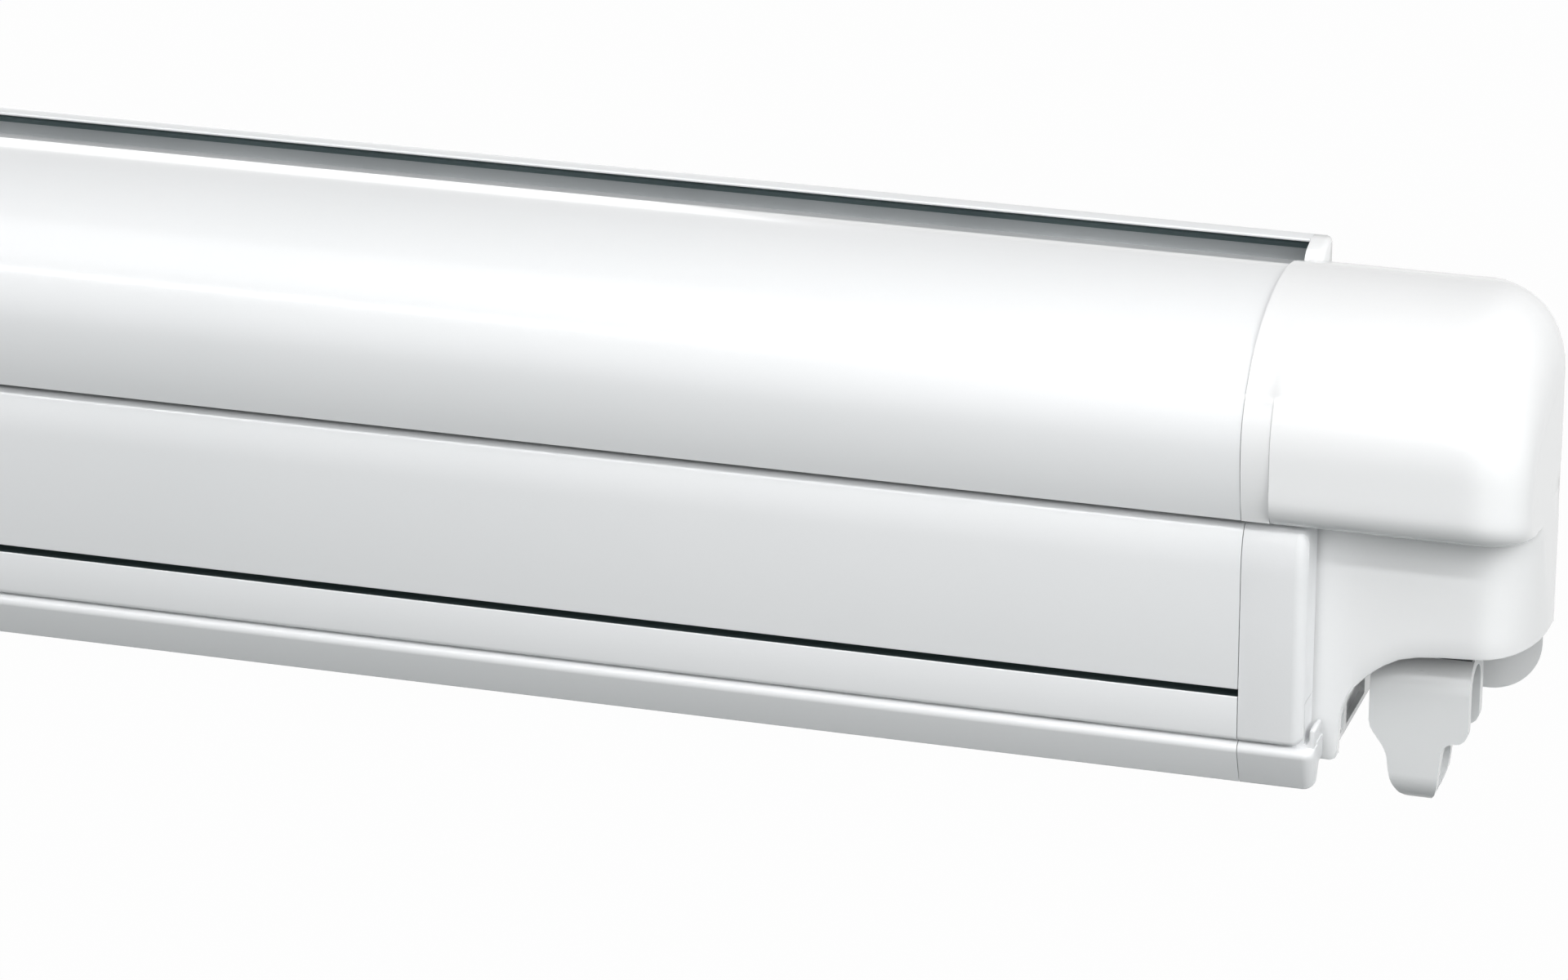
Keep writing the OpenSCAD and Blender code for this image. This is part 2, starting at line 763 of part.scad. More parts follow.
module knuckle(y, bore) {
    difference() {
        union() {
            translate([0, y, 0]) cylinder(r = knuckle_r, h = knuckle_h, center = true);
            translate([-joint_gap, y - knuckle_neck / 2, -knuckle_h / 2])
                cube([joint_gap, knuckle_neck, knuckle_h]);
            arm_spigot(-joint_gap - spigot_len, y);
        }
        translate([0, y, 0]) cylinder(r = bore, h = 2 * knuckle_h, center = true);
    }
}

// Plan of an elbow plate that reaches from an arm tube to the elbow pivot
module elbow_plan(r) {
    circle(r);
    polygon([[joint_gap, (arm_spacing + arm_w) / 2], [joint_gap, (arm_spacing - arm_w) / 2], [0, -r], [0, r]]);
}

module at_elbow() {
    translate([-arm_len, -arm_spacing / 2, 0]) children();
}

module elbow_fork() {
    difference() {
        union() {
            at_elbow() for (z = [ear_low, -arm_h / 2]) translate([0, 0, z])
                linear_extrude(arm_h / 2 - ear_low) elbow_plan(knuckle_r);
            translate([-arm_len + joint_gap - fork_web, -arm_w / 2, -arm_h / 2])
                cube([fork_web, arm_w, arm_h]);
            arm_spigot(-arm_len + joint_gap, 0);
        }
        at_elbow() cylinder(r = arm_bore, h = 2 * arm_h, center = true);
    }
}

module elbow_tongue() {
    difference() {
        union() {
            at_elbow() mirror([0, 1, 0]) translate([0, 0, -tongue_h / 2])
                linear_extrude(tongue_h) elbow_plan(tongue_r);
            arm_spigot(-arm_len + joint_gap, -arm_spacing);
        }
        at_elbow() cylinder(r = arm_bore, h = 2 * arm_h, center = true);
    }
}

// Pin with a head on top
module headed_pin(reach) {
    translate([0, 0, -reach]) cylinder(r = arm_pin_r, h = 2 * reach);
    translate([0, 0, reach]) cylinder(r = arm_pin_r + pin_head, h = pin_head);
}

// Tension spring inside the upper arm, hidden by the tube
module arm_spring() {
    rotate([0, -90, 0]) translate([0, 0, joint_gap + spigot_len + run_clear])
        cylinder(r = spring_r, h = arm_len - 2 * (joint_gap + spigot_len + run_clear));
}

module shoulder_bracket(side) {
    color(alloy) difference() {
        union() {
            at_arm(side) for (z = [ear_in, -ear_out]) translate([0, 0, z]) linear_extrude(ear_t) {
                circle(knuckle_r);
                translate([-knuckle_r, 0]) square([2 * knuckle_r, -2 * shoulder_y]);
            }
            translate([side * shoulder_x - bracket_w / 2, -case_wall - bracket_t, shoulder_z - bracket_w / 2])
                cube([bracket_w, bracket_t, bracket_w]);
        }
        translate([side * shoulder_x - bracket_w, -case_wall, shoulder_z - bracket_w])
            cube([2 * bracket_w, 2 * bracket_w, 2 * bracket_w]);
        at_arm(side) cylinder(r = arm_bore, h = 3 * arm_h, center = true);
    }
}

module shoulder_pins() {
    color(steel) for (side = [1, -1]) at_arm(side) headed_pin(ear_out);
}

module wrist_bracket(side) {
    color(alloy) difference() {
        union() {
            at_arm(side) translate([0, -arm_spacing, 0]) for (z = [ear_in, -ear_out]) translate([0, 0, z])
                linear_extrude(ear_t) {
                    circle(knuckle_r);
                    translate([-knuckle_r, -arm_spacing - knuckle_r])
                        square([2 * knuckle_r, arm_spacing + knuckle_r]);
                }
            translate([side * shoulder_x - bracket_w / 2, bar_rear_y, wrist_z - wrist_plate_h / 2])
                cube([bracket_w, bracket_t, wrist_plate_h]);
        }
        translate([side * shoulder_x - bracket_w, bar_rear_y - 2 * bracket_w, shoulder_z - bracket_w])
            cube([2 * bracket_w, 2 * bracket_w, 2 * bracket_w]);
        at_arm(side) translate([0, -arm_spacing, 0])
            cylinder(r = arm_bore, h = 3 * arm_h, center = true);
    }
}

module wrist_pins() {
    color(steel) for (side = [1, -1]) at_arm(side) translate([0, -arm_spacing, 0]) headed_pin(ear_out);
}

// Winch: the shaft stands in a housing in the right end cap, and its lower end carries the crank eye
module winch_housing() {
    front = cap_low_y + cap_wall;
    color(dark) difference() {
        translate([winch_x - housing_w / 2, front, cap_low_z])
            cube([housing_w, 2 * (winch_y - front), housing_top_z - cap_low_z]);
        translate([winch_x, winch_y, 0]) cylinder(r = winch_r + pin_clear, h = 4 * housing_w, center = true);
    }
}

// Half the angle that a thread of the worm takes up at radius r, in a cut across the worm
function thread_angle(r) = 360 * (thread_half + (worm_r - r) * thread_slope) / worm_lead;

// Cut across the worm: a round core with one tooth for each start
module worm_section() {
    core = winch_r - worm_bury;
    circle(winch_r);
    for (start = [0:worm_starts - 1]) rotate(start * 360 / worm_starts) polygon(concat(
        [[0, 0]], arc(0, 0, core, core, -thread_angle(core), -thread_angle(core), 1),
        arc(0, 0, worm_tip_r, worm_tip_r, -thread_angle(worm_tip_r), thread_angle(worm_tip_r), 3),
        arc(0, 0, core, core, thread_angle(core), thread_angle(core), 1)));
}

// Left hand thread, with a crest that faces the wheel at the height of the roller
module worm() {
    turn = 360 * worm_len / worm_lead;
    translate([0, 0, roller_z - worm_len / 2]) rotate(90 + turn / 2)
        linear_extrude(worm_len, twist = turn, slices = ceil(turn / 20), $fn = 18) worm_section();
}

module winch_shaft() {
    color(steel) translate([winch_x, winch_y, 0]) difference() {
        union() {
            translate([0, 0, eye_pin_z]) cylinder(r = winch_r, h = shaft_top_z - eye_pin_z);
            translate([0, 0, housing_top_z + run_clear]) cylinder(r = winch_r + shaft_collar, h = collar_t);
            translate([0, 0, eye_pin_z]) rotate([90, 0, 0])
                cylinder(r = winch_r, h = 2 * winch_r - 1, center = true);
            worm();
        }
        translate([0, 0, eye_pin_z]) rotate([90, 0, 0])
            cylinder(r = eye_pin_r + pin_clear, h = 4 * winch_r, center = true);
    }
}

// Side view of the crank eye: a saddle over the end of the shaft, whose front wall runs down into a ring
module eye_side() {
    half = eye_d / 2;
    inner = half - eye_wall;
    bend_z = eye_top_z - half;
    difference() {
        union() {
            polygon(concat([[half, eye_rear_z]], arc(0, bend_z, half, half, 0, 180, 16), [[-half, eye_ring_z],
                [-inner, eye_ring_z]], arc(0, bend_z, inner, inner, 180, 0, 16), [[inner, eye_rear_z]]));
            translate([0, eye_ring_z]) circle(eye_ring_r);
        }
        translate([0, eye_ring_z]) circle(eye_hole_r);
    }
}

// Front view of the crank eye: wide at the saddle, drawn in to the width of the ring by two curves
module eye_front() {
    wide = eye_w / 2;
    slim = eye_ring_w / 2;
    draw_in = wide - slim;
    right = concat([[wide, eye_top_z + 1]],
        arc(wide - draw_in / 2, eye_neck_z, draw_in / 2, eye_neck_h / 2, 0, -90, 5),
        arc(slim + draw_in / 2, eye_neck_z - eye_neck_h, draw_in / 2, eye_neck_h / 2, 90, 180, 5),
        [[slim, eye_ring_z - eye_ring_r - 1]]);
    polygon(concat(right, [for (i = [len(right) - 1:-1:0]) [-right[i][0], right[i][1]]]));
}

module crank_eye() {
    color(white) translate([winch_x, winch_y, 0]) difference() {
        intersection() {
            along_x(-eye_w / 2, eye_w / 2) eye_side();
            along_y(-eye_d, eye_d) eye_front();
        }
        translate([-eye_w / 4, -eye_slot / 2, eye_top_z - 2 * eye_wall])
            cube([eye_w / 2, eye_slot, 3 * eye_wall]);
        eye_pin_shape(eye_pin_r + press_clear, eye_wall);
    }
}

// Pin of the crank eye, driven in from the rear and hidden by the front wall
module eye_pin_shape(r, extra) {
    front = eye_d / 2 - eye_skin;
    translate([0, -front - (extra > 0 ? run_clear : 0), eye_pin_z]) rotate([-90, 0, 0])
        cylinder(r = r, h = 2 * front + extra);
}

module eye_pin() {
    color(steel) translate([winch_x, winch_y, 0]) eye_pin_shape(eye_pin_r, 0);
}

case_shell();
rail_end_plugs();
right_end_cap();
left_end_cap();
right_end_plate();
left_end_plate();
roller_bushes();
winch_housing();
shoulder_bracket(1);  // right_shoulder_bracket
shoulder_bracket(-1);  // left_shoulder_bracket
shoulder_pins();
end_cap_screws();
roller_tube();
right_roller_plug();
left_roller_plug();
worm_wheel();
canopy_roll();
canopy_sheet();
lead_bar();
leg_tray();
right_bar_cap();
left_bar_cap();
right_tray_cap();
left_tray_cap();
front_bead();
wrist_bracket(1);  // right_wrist_bracket
wrist_bracket(-1);  // left_wrist_bracket
wrist_pins();
leg_pins();
color(alloy) at_arm(1) arm_tube(0);  // right_upper_arm
color(dark) at_arm(1) knuckle(0, arm_bore);  // right_shoulder_knuckle
color(dark) at_arm(1) elbow_fork();  // right_elbow_fork
color(steel) at_arm(1) at_elbow() headed_pin(arm_h / 2);  // right_elbow_pin
color(steel) at_arm(1) arm_spring();  // right_arm_spring
color(alloy) at_arm(1) arm_tube(-arm_spacing);  // right_forearm
color(dark) at_arm(1) elbow_tongue();  // right_elbow_tongue
color(dark) at_arm(1) knuckle(-arm_spacing, arm_bore);  // right_wrist_knuckle
color(alloy) at_arm(-1) arm_tube(0);  // left_upper_arm
color(dark) at_arm(-1) knuckle(0, arm_bore);  // left_shoulder_knuckle
color(dark) at_arm(-1) elbow_fork();  // left_elbow_fork
color(steel) at_arm(-1) at_elbow() headed_pin(arm_h / 2);  // left_elbow_pin
color(steel) at_arm(-1) arm_spring();  // left_arm_spring
color(alloy) at_arm(-1) arm_tube(-arm_spacing);  // left_forearm
color(dark) at_arm(-1) elbow_tongue();  // left_elbow_tongue
color(dark) at_arm(-1) knuckle(-arm_spacing, open_bore);  // left_wrist_knuckle
leg_knuckle(1);  // right_leg_knuckle
leg_tube(1);  // right_leg_tube
leg_inner(1);  // right_leg_inner
foot(1);  // right_foot
leg_knuckle(-1);  // left_leg_knuckle
leg_tube(-1);  // left_leg_tube
leg_inner(-1);  // left_leg_inner
foot(-1);  // left_foot
winch_shaft();
crank_eye();
eye_pin();
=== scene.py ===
# %% [markdown]
# # A roll out awning for a camper wall
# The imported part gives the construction: case, roller, folding arms, lead bar and legs, each in its place.
# This lesson dresses it. Long extrusions are drawn as outlines and pulled out along X, moulded caps are
# laid as grids over their section curves, and every surface gets a procedural finish.

# %% Load the frame
import bpy
import json
import math
from mathutils import Matrix, Vector


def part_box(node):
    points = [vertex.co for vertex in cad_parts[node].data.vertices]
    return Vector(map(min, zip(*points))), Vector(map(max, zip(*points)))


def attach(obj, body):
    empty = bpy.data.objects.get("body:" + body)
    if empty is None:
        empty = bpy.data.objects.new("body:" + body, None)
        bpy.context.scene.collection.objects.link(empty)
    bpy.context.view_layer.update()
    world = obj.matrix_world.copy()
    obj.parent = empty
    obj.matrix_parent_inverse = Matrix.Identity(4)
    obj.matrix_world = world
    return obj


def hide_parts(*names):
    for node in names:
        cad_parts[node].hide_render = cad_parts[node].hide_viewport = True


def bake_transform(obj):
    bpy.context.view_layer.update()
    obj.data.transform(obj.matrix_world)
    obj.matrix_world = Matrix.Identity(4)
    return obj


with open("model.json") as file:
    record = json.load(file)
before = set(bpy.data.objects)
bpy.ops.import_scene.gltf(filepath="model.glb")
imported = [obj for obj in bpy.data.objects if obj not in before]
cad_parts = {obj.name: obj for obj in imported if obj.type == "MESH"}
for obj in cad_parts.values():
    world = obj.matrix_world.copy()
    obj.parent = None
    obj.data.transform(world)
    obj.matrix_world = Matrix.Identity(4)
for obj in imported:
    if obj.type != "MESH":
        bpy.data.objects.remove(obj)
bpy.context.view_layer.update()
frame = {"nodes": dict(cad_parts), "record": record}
MM = 0.001

# %% [markdown]
# ## Camera
# The long edges of the awning run to one far vanishing point, which gives the turn and the tilt of the
# camera. One corner of the lead bar, whose place in the frame is known, then fixes how far away it stands.
# The camera comes first, so that every later piece can be judged in the same view.

# %% Camera
PHOTO_W = 1920
PHOTO_H = 1200
FOCAL_PX = 7900
TURN = math.radians(17.2)
TILT = math.radians(20.95)
CASE_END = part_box("case_shell")[1][0] / MM
MARK = Vector((CASE_END, -92, -55.6))
MARK_PX = (1513, 909)
MARK_SCALE = 4.8
SENSOR_W = 36
FAR_CLIP = 60

right = Vector((math.cos(TURN), math.sin(TURN), 0))
ahead = Vector((-math.sin(TURN) * math.cos(TILT), math.cos(TURN) * math.cos(TILT), -math.sin(TILT)))
upward = right.cross(ahead)
reach = FOCAL_PX / MARK_SCALE
aside = (MARK_PX[0] - PHOTO_W / 2) / MARK_SCALE
above = (PHOTO_H / 2 - MARK_PX[1]) / MARK_SCALE
camera_at = (MARK - ahead * reach - right * aside - upward * above) * MM

lens = bpy.data.cameras.new("camera")
lens.sensor_width = SENSOR_W
lens.lens = FOCAL_PX / PHOTO_W * SENSOR_W
lens.clip_end = FAR_CLIP
camera = bpy.data.objects.new("camera", lens)
bpy.context.scene.collection.objects.link(camera)
turned = Matrix((right, upward, -ahead)).transposed().to_4x4()
camera.matrix_world = Matrix.Translation(camera_at) @ turned
bpy.context.scene.camera = camera
print("camera at", [round(v, 3) for v in camera_at])

# %% [markdown]
# ## Finishes
# Powder coat, moulded plastic and metal all show the same faint breakup: a slight change of tone and gloss,
# and a fine bump. Each material could have its own noise nodes, but one node group keeps them alike. It is
# placed in each material with its own scale.

# %% Breakup group
TONE_SCALE = 8.0
GRAIN_SCALE = 900.0
TONE_DETAIL = 3.0
GRAIN_DETAIL = 2.0


def new_group(name, inputs, outputs):
    group = bpy.data.node_groups.new(name, "ShaderNodeTree")
    for label, value in inputs:
        socket = group.interface.new_socket(label, in_out="INPUT", socket_type="NodeSocketFloat")
        socket.default_value = value
    for label in outputs:
        group.interface.new_socket(label, in_out="OUTPUT", socket_type="NodeSocketFloat")
    return group, group.nodes.new("NodeGroupInput"), group.nodes.new("NodeGroupOutput")


def add_noise(tree, coords, scale, detail):
    noise = tree.nodes.new("ShaderNodeTexNoise")
    noise.inputs["Detail"].default_value = detail
    tree.links.new(coords, noise.inputs["Vector"])
    tree.links.new(scale, noise.inputs["Scale"])
    return noise.outputs["Fac"]


def build_breakup():
    inputs = [("Tone Scale", TONE_SCALE), ("Grain Scale", GRAIN_SCALE)]
    group, gets, gives = new_group("breakup", inputs, ["Tone", "Grain"])
    coords = group.nodes.new("ShaderNodeTexCoord").outputs["Object"]
    tone = add_noise(group, coords, gets.outputs["Tone Scale"], TONE_DETAIL)
    grain = add_noise(group, coords, gets.outputs["Grain Scale"], GRAIN_DETAIL)
    group.links.new(tone, gives.inputs["Tone"])
    group.links.new(grain, gives.inputs["Grain"])
    return group


breakup = build_breakup()
print("group", breakup.name)

# %% [markdown]
# A finish then needs two close colours, a range of roughness and a bump strength. The constant values sit
# on the shader's own sockets, so that the exported model keeps them.

# %% Finish helper
COAT_ROUGHNESS = 0.08
TONE_RANGE = (0.3, 0.7)
BUMP_HEIGHT = 0.0002


def make_finish(name, dark, light, rough, grain_scale, bump, tone_scale=TONE_SCALE, metallic=0, coat=0):
    material = bpy.data.materials.new(name)
    material.use_nodes = True
    tree = material.node_tree
    shader = tree.nodes["Principled BSDF"]
    shader.inputs["Metallic"].default_value = metallic
    shader.inputs["Coat Weight"].default_value = coat
    shader.inputs["Coat Roughness"].default_value = COAT_ROUGHNESS
    speckle = tree.nodes.new("ShaderNodeGroup")
    speckle.node_tree = breakup
    speckle.inputs["Tone Scale"].default_value = tone_scale
    speckle.inputs["Grain Scale"].default_value = grain_scale
    ramp = tree.nodes.new("ShaderNodeValToRGB")
    for stop, position, colour in zip(ramp.color_ramp.elements, TONE_RANGE, (dark, light)):
        stop.position = position
        stop.color = (*colour, 1)
    tree.links.new(speckle.outputs["Tone"], ramp.inputs["Fac"])
    tree.links.new(ramp.outputs["Color"], shader.inputs["Base Color"])
    spread = tree.nodes.new("ShaderNodeMapRange")
    spread.inputs["To Min"].default_value = rough[0]
    spread.inputs["To Max"].default_value = rough[1]
    tree.links.new(speckle.outputs["Tone"], spread.inputs["Value"])
    tree.links.new(spread.outputs["Result"], shader.inputs["Roughness"])
    relief = tree.nodes.new("ShaderNodeBump")
    relief.inputs["Strength"].default_value = bump
    relief.inputs["Distance"].default_value = BUMP_HEIGHT
    tree.links.new(speckle.outputs["Grain"], relief.inputs["Height"])
    tree.links.new(relief.outputs["Normal"], shader.inputs["Normal"])
    return material


# %% Paint and plastic
finishes = {
    "case_paint": make_finish("gloss_powder_coat", (0.83, 0.845, 0.855), (0.86, 0.87, 0.88), (0.16, 0.24),
                              grain_scale=700, bump=0.05, coat=0.4),
    "arm_alloy": make_finish("arm_powder_coat", (0.76, 0.77, 0.78), (0.81, 0.82, 0.83), (0.28, 0.4),
                             grain_scale=900, bump=0.12, tone_scale=12),
    "cap_plastic": make_finish("gloss_moulding", (0.84, 0.85, 0.855), (0.87, 0.875, 0.88), (0.14, 0.22),
                               grain_scale=1200, bump=0.04, tone_scale=14, coat=0.3),
    # The eye's moulding is the cap moulding made darker: painted shade, since the eye sits low, under the
    # cap.
    "shaded_eye_plastic": make_finish("eye_moulding_painted_shade", (0.75, 0.765, 0.77), (0.78, 0.79, 0.795), (0.2, 0.3),
                               grain_scale=1200, bump=0.04, tone_scale=14, coat=0.2),
    "trim_plastic": make_finish("satin_moulding", (0.78, 0.79, 0.8), (0.82, 0.83, 0.84), (0.26, 0.36),
                                grain_scale=1500, bump=0.08, tone_scale=18),
    "dark_plastic": make_finish("black_nylon", (0.02, 0.022, 0.024), (0.035, 0.037, 0.04), (0.5, 0.66),
                                grain_scale=2200, bump=0.25, tone_scale=30),
}
print("paint and plastic", sorted(finishes))

# %% Metal
finishes.update({
    "steel": make_finish("zinc_plate", (0.5, 0.51, 0.53), (0.66, 0.67, 0.69), (0.28, 0.46),
                         grain_scale=1800, bump=0.15, tone_scale=60, metallic=1.0),
    "bronze": make_finish("turned_bronze", (0.48, 0.33, 0.15), (0.62, 0.45, 0.22), (0.25, 0.4),
                          grain_scale=1500, bump=0.1, tone_scale=80, metallic=1.0),
    "plain_alloy": make_finish("anodised_alloy", (0.62, 0.63, 0.65), (0.72, 0.73, 0.75), (0.3, 0.44),
                               grain_scale=1600, bump=0.1, tone_scale=20, metallic=1.0),
    # The next two finishes are painted shade: dark for the shadow under the rail lip and in the bar groove,
    # grey for the lower rail channel.
    "painted_shade_recess": make_finish("painted_shade_recess", (0.09, 0.13, 0.135), (0.13, 0.175, 0.18), (0.34, 0.5),
                               grain_scale=1600, bump=0.1, tone_scale=20, metallic=0.5),
    "painted_shade_wall": make_finish("painted_shade_wall", (0.4, 0.42, 0.43), (0.46, 0.48, 0.49), (0.34, 0.5),
                             grain_scale=1600, bump=0.1, tone_scale=20, metallic=0.5),
})
print("finishes", len(finishes))

# %% [markdown]
# ## Two ways to make a piece
# A long profile is traced point by point as an outline and pulled out along X, the way the metal leaves its
# die. A moulded piece is laid: a grid of quads whose rows are sections, so that a corner can round off from
# row to row. A bevel would be shorter to write, but its round is the same all the way along an edge.

# %% Selecting and shading
def arc(centre_y, centre_z, ry, rz, start, end, steps):
    """Points along part of an ellipse, between two angles in degrees."""
    points = []
    for i in range(steps + 1):
        angle = math.radians(start + (end - start) * i / steps)
        points.append((centre_y + ry * math.cos(angle), centre_z + rz * math.sin(angle)))
    return points


def pick(piece):
    """Selects this piece alone and makes it the active one."""
    bpy.ops.object.select_all(action="DESELECT")
    bpy.context.view_layer.objects.active = piece
    piece.select_set(True)


def edit_all(piece):
    pick(piece)
    bpy.ops.object.mode_set(mode="EDIT")
    bpy.ops.mesh.select_mode(type="VERT")
    bpy.ops.mesh.select_all(action="SELECT")


def close_edit(outward=True):
    if outward:
        bpy.ops.mesh.select_all(action="SELECT")
        bpy.ops.mesh.normals_make_consistent(inside=False)
    bpy.ops.object.mode_set(mode="OBJECT")


def smooth(piece, angle=32):
    pick(piece)
    bpy.ops.object.shade_smooth_by_angle(angle=math.radians(angle))


# %% Tracing and laying
TRACE_MERGE = 0.02 * MM
RING_MERGE = 0.002 * MM


def trace(name, corners, pull):
    """A closed outline of points in mm, pulled out by a vector in mm."""
    bpy.ops.object.select_all(action="DESELECT")
    bpy.ops.mesh.primitive_plane_add(size=MM, location=Vector(corners[0]) * MM)
    piece = bpy.context.object
    piece.name = name
    bpy.ops.object.transform_apply(location=True, rotation=False, scale=False)
    edit_all(piece)
    bpy.ops.mesh.merge(type="CENTER")
    for before, after in zip(corners, corners[1:] + corners[:1]):
        step = (Vector(after) - Vector(before)) * MM
        bpy.ops.mesh.extrude_vertices_move(TRANSFORM_OT_translate={"value": step})
    bpy.ops.mesh.select_all(action="SELECT")
    bpy.ops.mesh.remove_doubles(threshold=TRACE_MERGE)
    bpy.ops.mesh.edge_face_add()
    bpy.ops.mesh.extrude_region_move(TRANSFORM_OT_translate={"value": Vector(pull) * MM})
    close_edit()
    return piece


def trace_profile(name, outline):
    """An extrusion as long as the case."""
    return trace(name, [(-CASE_END, y, z) for y, z in outline], (2 * CASE_END, 0, 0))


def lay_grid(name, rows):
    """A sheet of quads whose vertices are the given rows of points in mm."""
    bpy.ops.object.select_all(action="DESELECT")
    across = len(rows[0])
    bpy.ops.mesh.primitive_grid_add(x_subdivisions=across - 1, y_subdivisions=len(rows) - 1, size=1)
    piece = bpy.context.object
    piece.name = name
    for index, vertex in enumerate(piece.data.vertices):
        vertex.co = Vector(rows[index // across][index % across]) * MM
    return piece


def lay_rings(name, rings):
    """A closed solid through rings of points in mm: the seam is merged and both ends are filled."""
    piece = lay_grid(name, [ring + ring[:1] for ring in rings])
    edit_all(piece)
    bpy.ops.mesh.remove_doubles(threshold=RING_MERGE)
    bpy.ops.mesh.fill_holes(sides=0)
    close_edit()
    return piece


# %% Cutting and copying
def apply_modifier(piece, kind, **settings):
    pick(piece)
    modifier = piece.modifiers.new("shape", kind)
    for key, value in settings.items():
        setattr(modifier, key, value)
    bpy.ops.object.modifier_apply(modifier=modifier.name)


def cut(piece, cutter, operation="DIFFERENCE"):
    apply_modifier(piece, "BOOLEAN", operation=operation, object=cutter, solver="EXACT")
    bpy.data.objects.remove(cutter)


def cut_box(piece, middle, sides):
    """Takes away a box, given by its middle and its sides in mm."""
    bpy.ops.object.select_all(action="DESELECT")
    bpy.ops.mesh.primitive_cube_add(size=MM, location=Vector(middle) * MM, scale=sides)
    cut(piece, bpy.context.object)


def cut_bore(piece, middle, radius, length, turn, vertices):
    """Takes away a round bore, given in mm; its axis is Z before the turn."""
    bpy.ops.object.select_all(action="DESELECT")
    bpy.ops.mesh.primitive_cylinder_add(vertices=vertices, radius=radius * MM, depth=length * MM,
                                        location=Vector(middle) * MM, rotation=turn)
    cut(piece, bpy.context.object)


def round_edges(piece, width, segments, angle):
    apply_modifier(piece, "BEVEL", width=width * MM, segments=segments, limit_method="ANGLE",
                   angle_limit=math.radians(angle))


def mirror_copy(piece, name):
    """The same piece for the far end of the awning."""
    pick(piece)
    bpy.ops.object.duplicate()
    twin = bpy.context.object
    twin.name = name
    twin.data.transform(Matrix.Scale(-1, 4, (1, 0, 0)))
    edit_all(twin)
    bpy.ops.mesh.flip_normals()
    close_edit(outward=False)
    return twin


def join(*pieces):
    bpy.ops.object.select_all(action="DESELECT")
    for piece in pieces:
        piece.select_set(True)
    bpy.context.view_layer.objects.active = pieces[0]
    bpy.ops.object.join()
    return pieces[0]


# %% Dressing
def dress(piece, slot, body, *nodes):
    """Gives a piece its finish, and says which nodes it replaces and which body carries it."""
    piece.data.materials.clear()
    piece.data.materials.append(finishes[slot])
    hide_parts(*nodes)
    if body:
        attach(piece, body)
    print(piece.name, len(piece.data.polygons), "faces")


def paint_shade(piece, finish, low, high):
    """Faces between two corners in y and z take a second, darker finish: painted shade inside a recess."""
    piece.data.materials.append(finishes[finish])
    count = 0
    for face in piece.data.polygons:
        y = face.center.y / MM
        z = face.center.z / MM
        if low[0] < y < high[0] and low[1] < z < high[1]:
            face.material_index = len(piece.data.materials) - 1
            count += 1
    print(piece.name, count, "bare faces")


# %% [markdown]
# ## Case
# The case is one extrusion: a nose that tucks in at its lip, an elliptical top, a gently falling back and
# the rail along the top of the wall side. A solid outline would be simpler, but the case is open below, so
# the inside is drawn too, at the wall thickness, and the mouth of the case shows as hollow.

# %% Case outline
WALL = 1.8
NOSE_Y = -96
NOSE_Z = 25
RIDGE_Y = -50
RIDGE_Z = 57.5
LIP_Z = 5.5
LIP_DEEP = 7
TUCK = 3
FLOOR_Z = -62
CREST_R = 40
CREST_END = 70


def case_curve(lift):
    """Nose and ridge of the case, raised by the lift."""
    depth = RIDGE_Y - NOSE_Y + lift
    front = arc(RIDGE_Y, NOSE_Z, depth, RIDGE_Z - NOSE_Z + lift, 180, 90, 28)
    crest = arc(RIDGE_Y, RIDGE_Z - CREST_R, CREST_R + lift, CREST_R + lift, 90, CREST_END, 6)
    return front + crest[1:]


def nose_tuck(offset, low, steps):
    """Front of the case below the nose, which curves back towards its lip."""
    shares = [1 - i / steps for i in range(steps)]
    return [(NOSE_Y + offset + TUCK * t * t, NOSE_Z + (low - NOSE_Z) * t) for t in shares]


case_outside = nose_tuck(0, LIP_Z, 10) + case_curve(0)
case_inside = case_curve(-WALL)[::-1] + nose_tuck(WALL, LIP_Z + WALL, 6)[::-1]
case_inside += [(NOSE_Y + LIP_DEEP, LIP_Z + WALL), (NOSE_Y + LIP_DEEP, LIP_Z)]
print("case outline", len(case_outside), "points outside,", len(case_inside), "inside")

# %% Case shell
RAIL_Y = -7.5
RAIL_Z = 45.4
RAIL_R = 5.4
RAIL_FRONT = -14.9
RAIL_FLOOR = 38
RAIL_TOP = 51.2
RECESS_Z = RAIL_Z + 2.2
BACK_FOOT = -28
SCREW_X = 600
SCREW_Z = -50
SCREW_R = 3.3
RAIL_LIP_R = 0.4

rail_channel = arc(RAIL_Y, RAIL_Z, RAIL_R, RAIL_R, 155, 408, 24)
rail_lip = [(-2.2, 49.8), (-2.2, 50.4), (-4.6, 50.4)]
rail_lip += arc(-4.4, RAIL_TOP - RAIL_LIP_R, RAIL_LIP_R, RAIL_LIP_R, 180, 90, 4)
rail_lip += [(0, RAIL_TOP)]
case_back = [(0, FLOOR_Z), (BACK_FOOT, FLOOR_Z), (BACK_FOOT, FLOOR_Z + WALL), (-WALL, FLOOR_Z + WALL)]
case_back += [(-WALL, RAIL_FLOOR), (RAIL_FRONT, RAIL_FLOOR), (RAIL_FRONT, RAIL_Z + 1)]
case = trace_profile("case_profile", case_outside + rail_channel + rail_lip + case_back + case_inside)
for side in (1, -1):
    cut_bore(case, (side * SCREW_X, 0, SCREW_Z), SCREW_R, 10, (math.pi / 2, 0, 0), vertices=32)
smooth(case)
dress(case, "case_paint", "case", "case_shell")
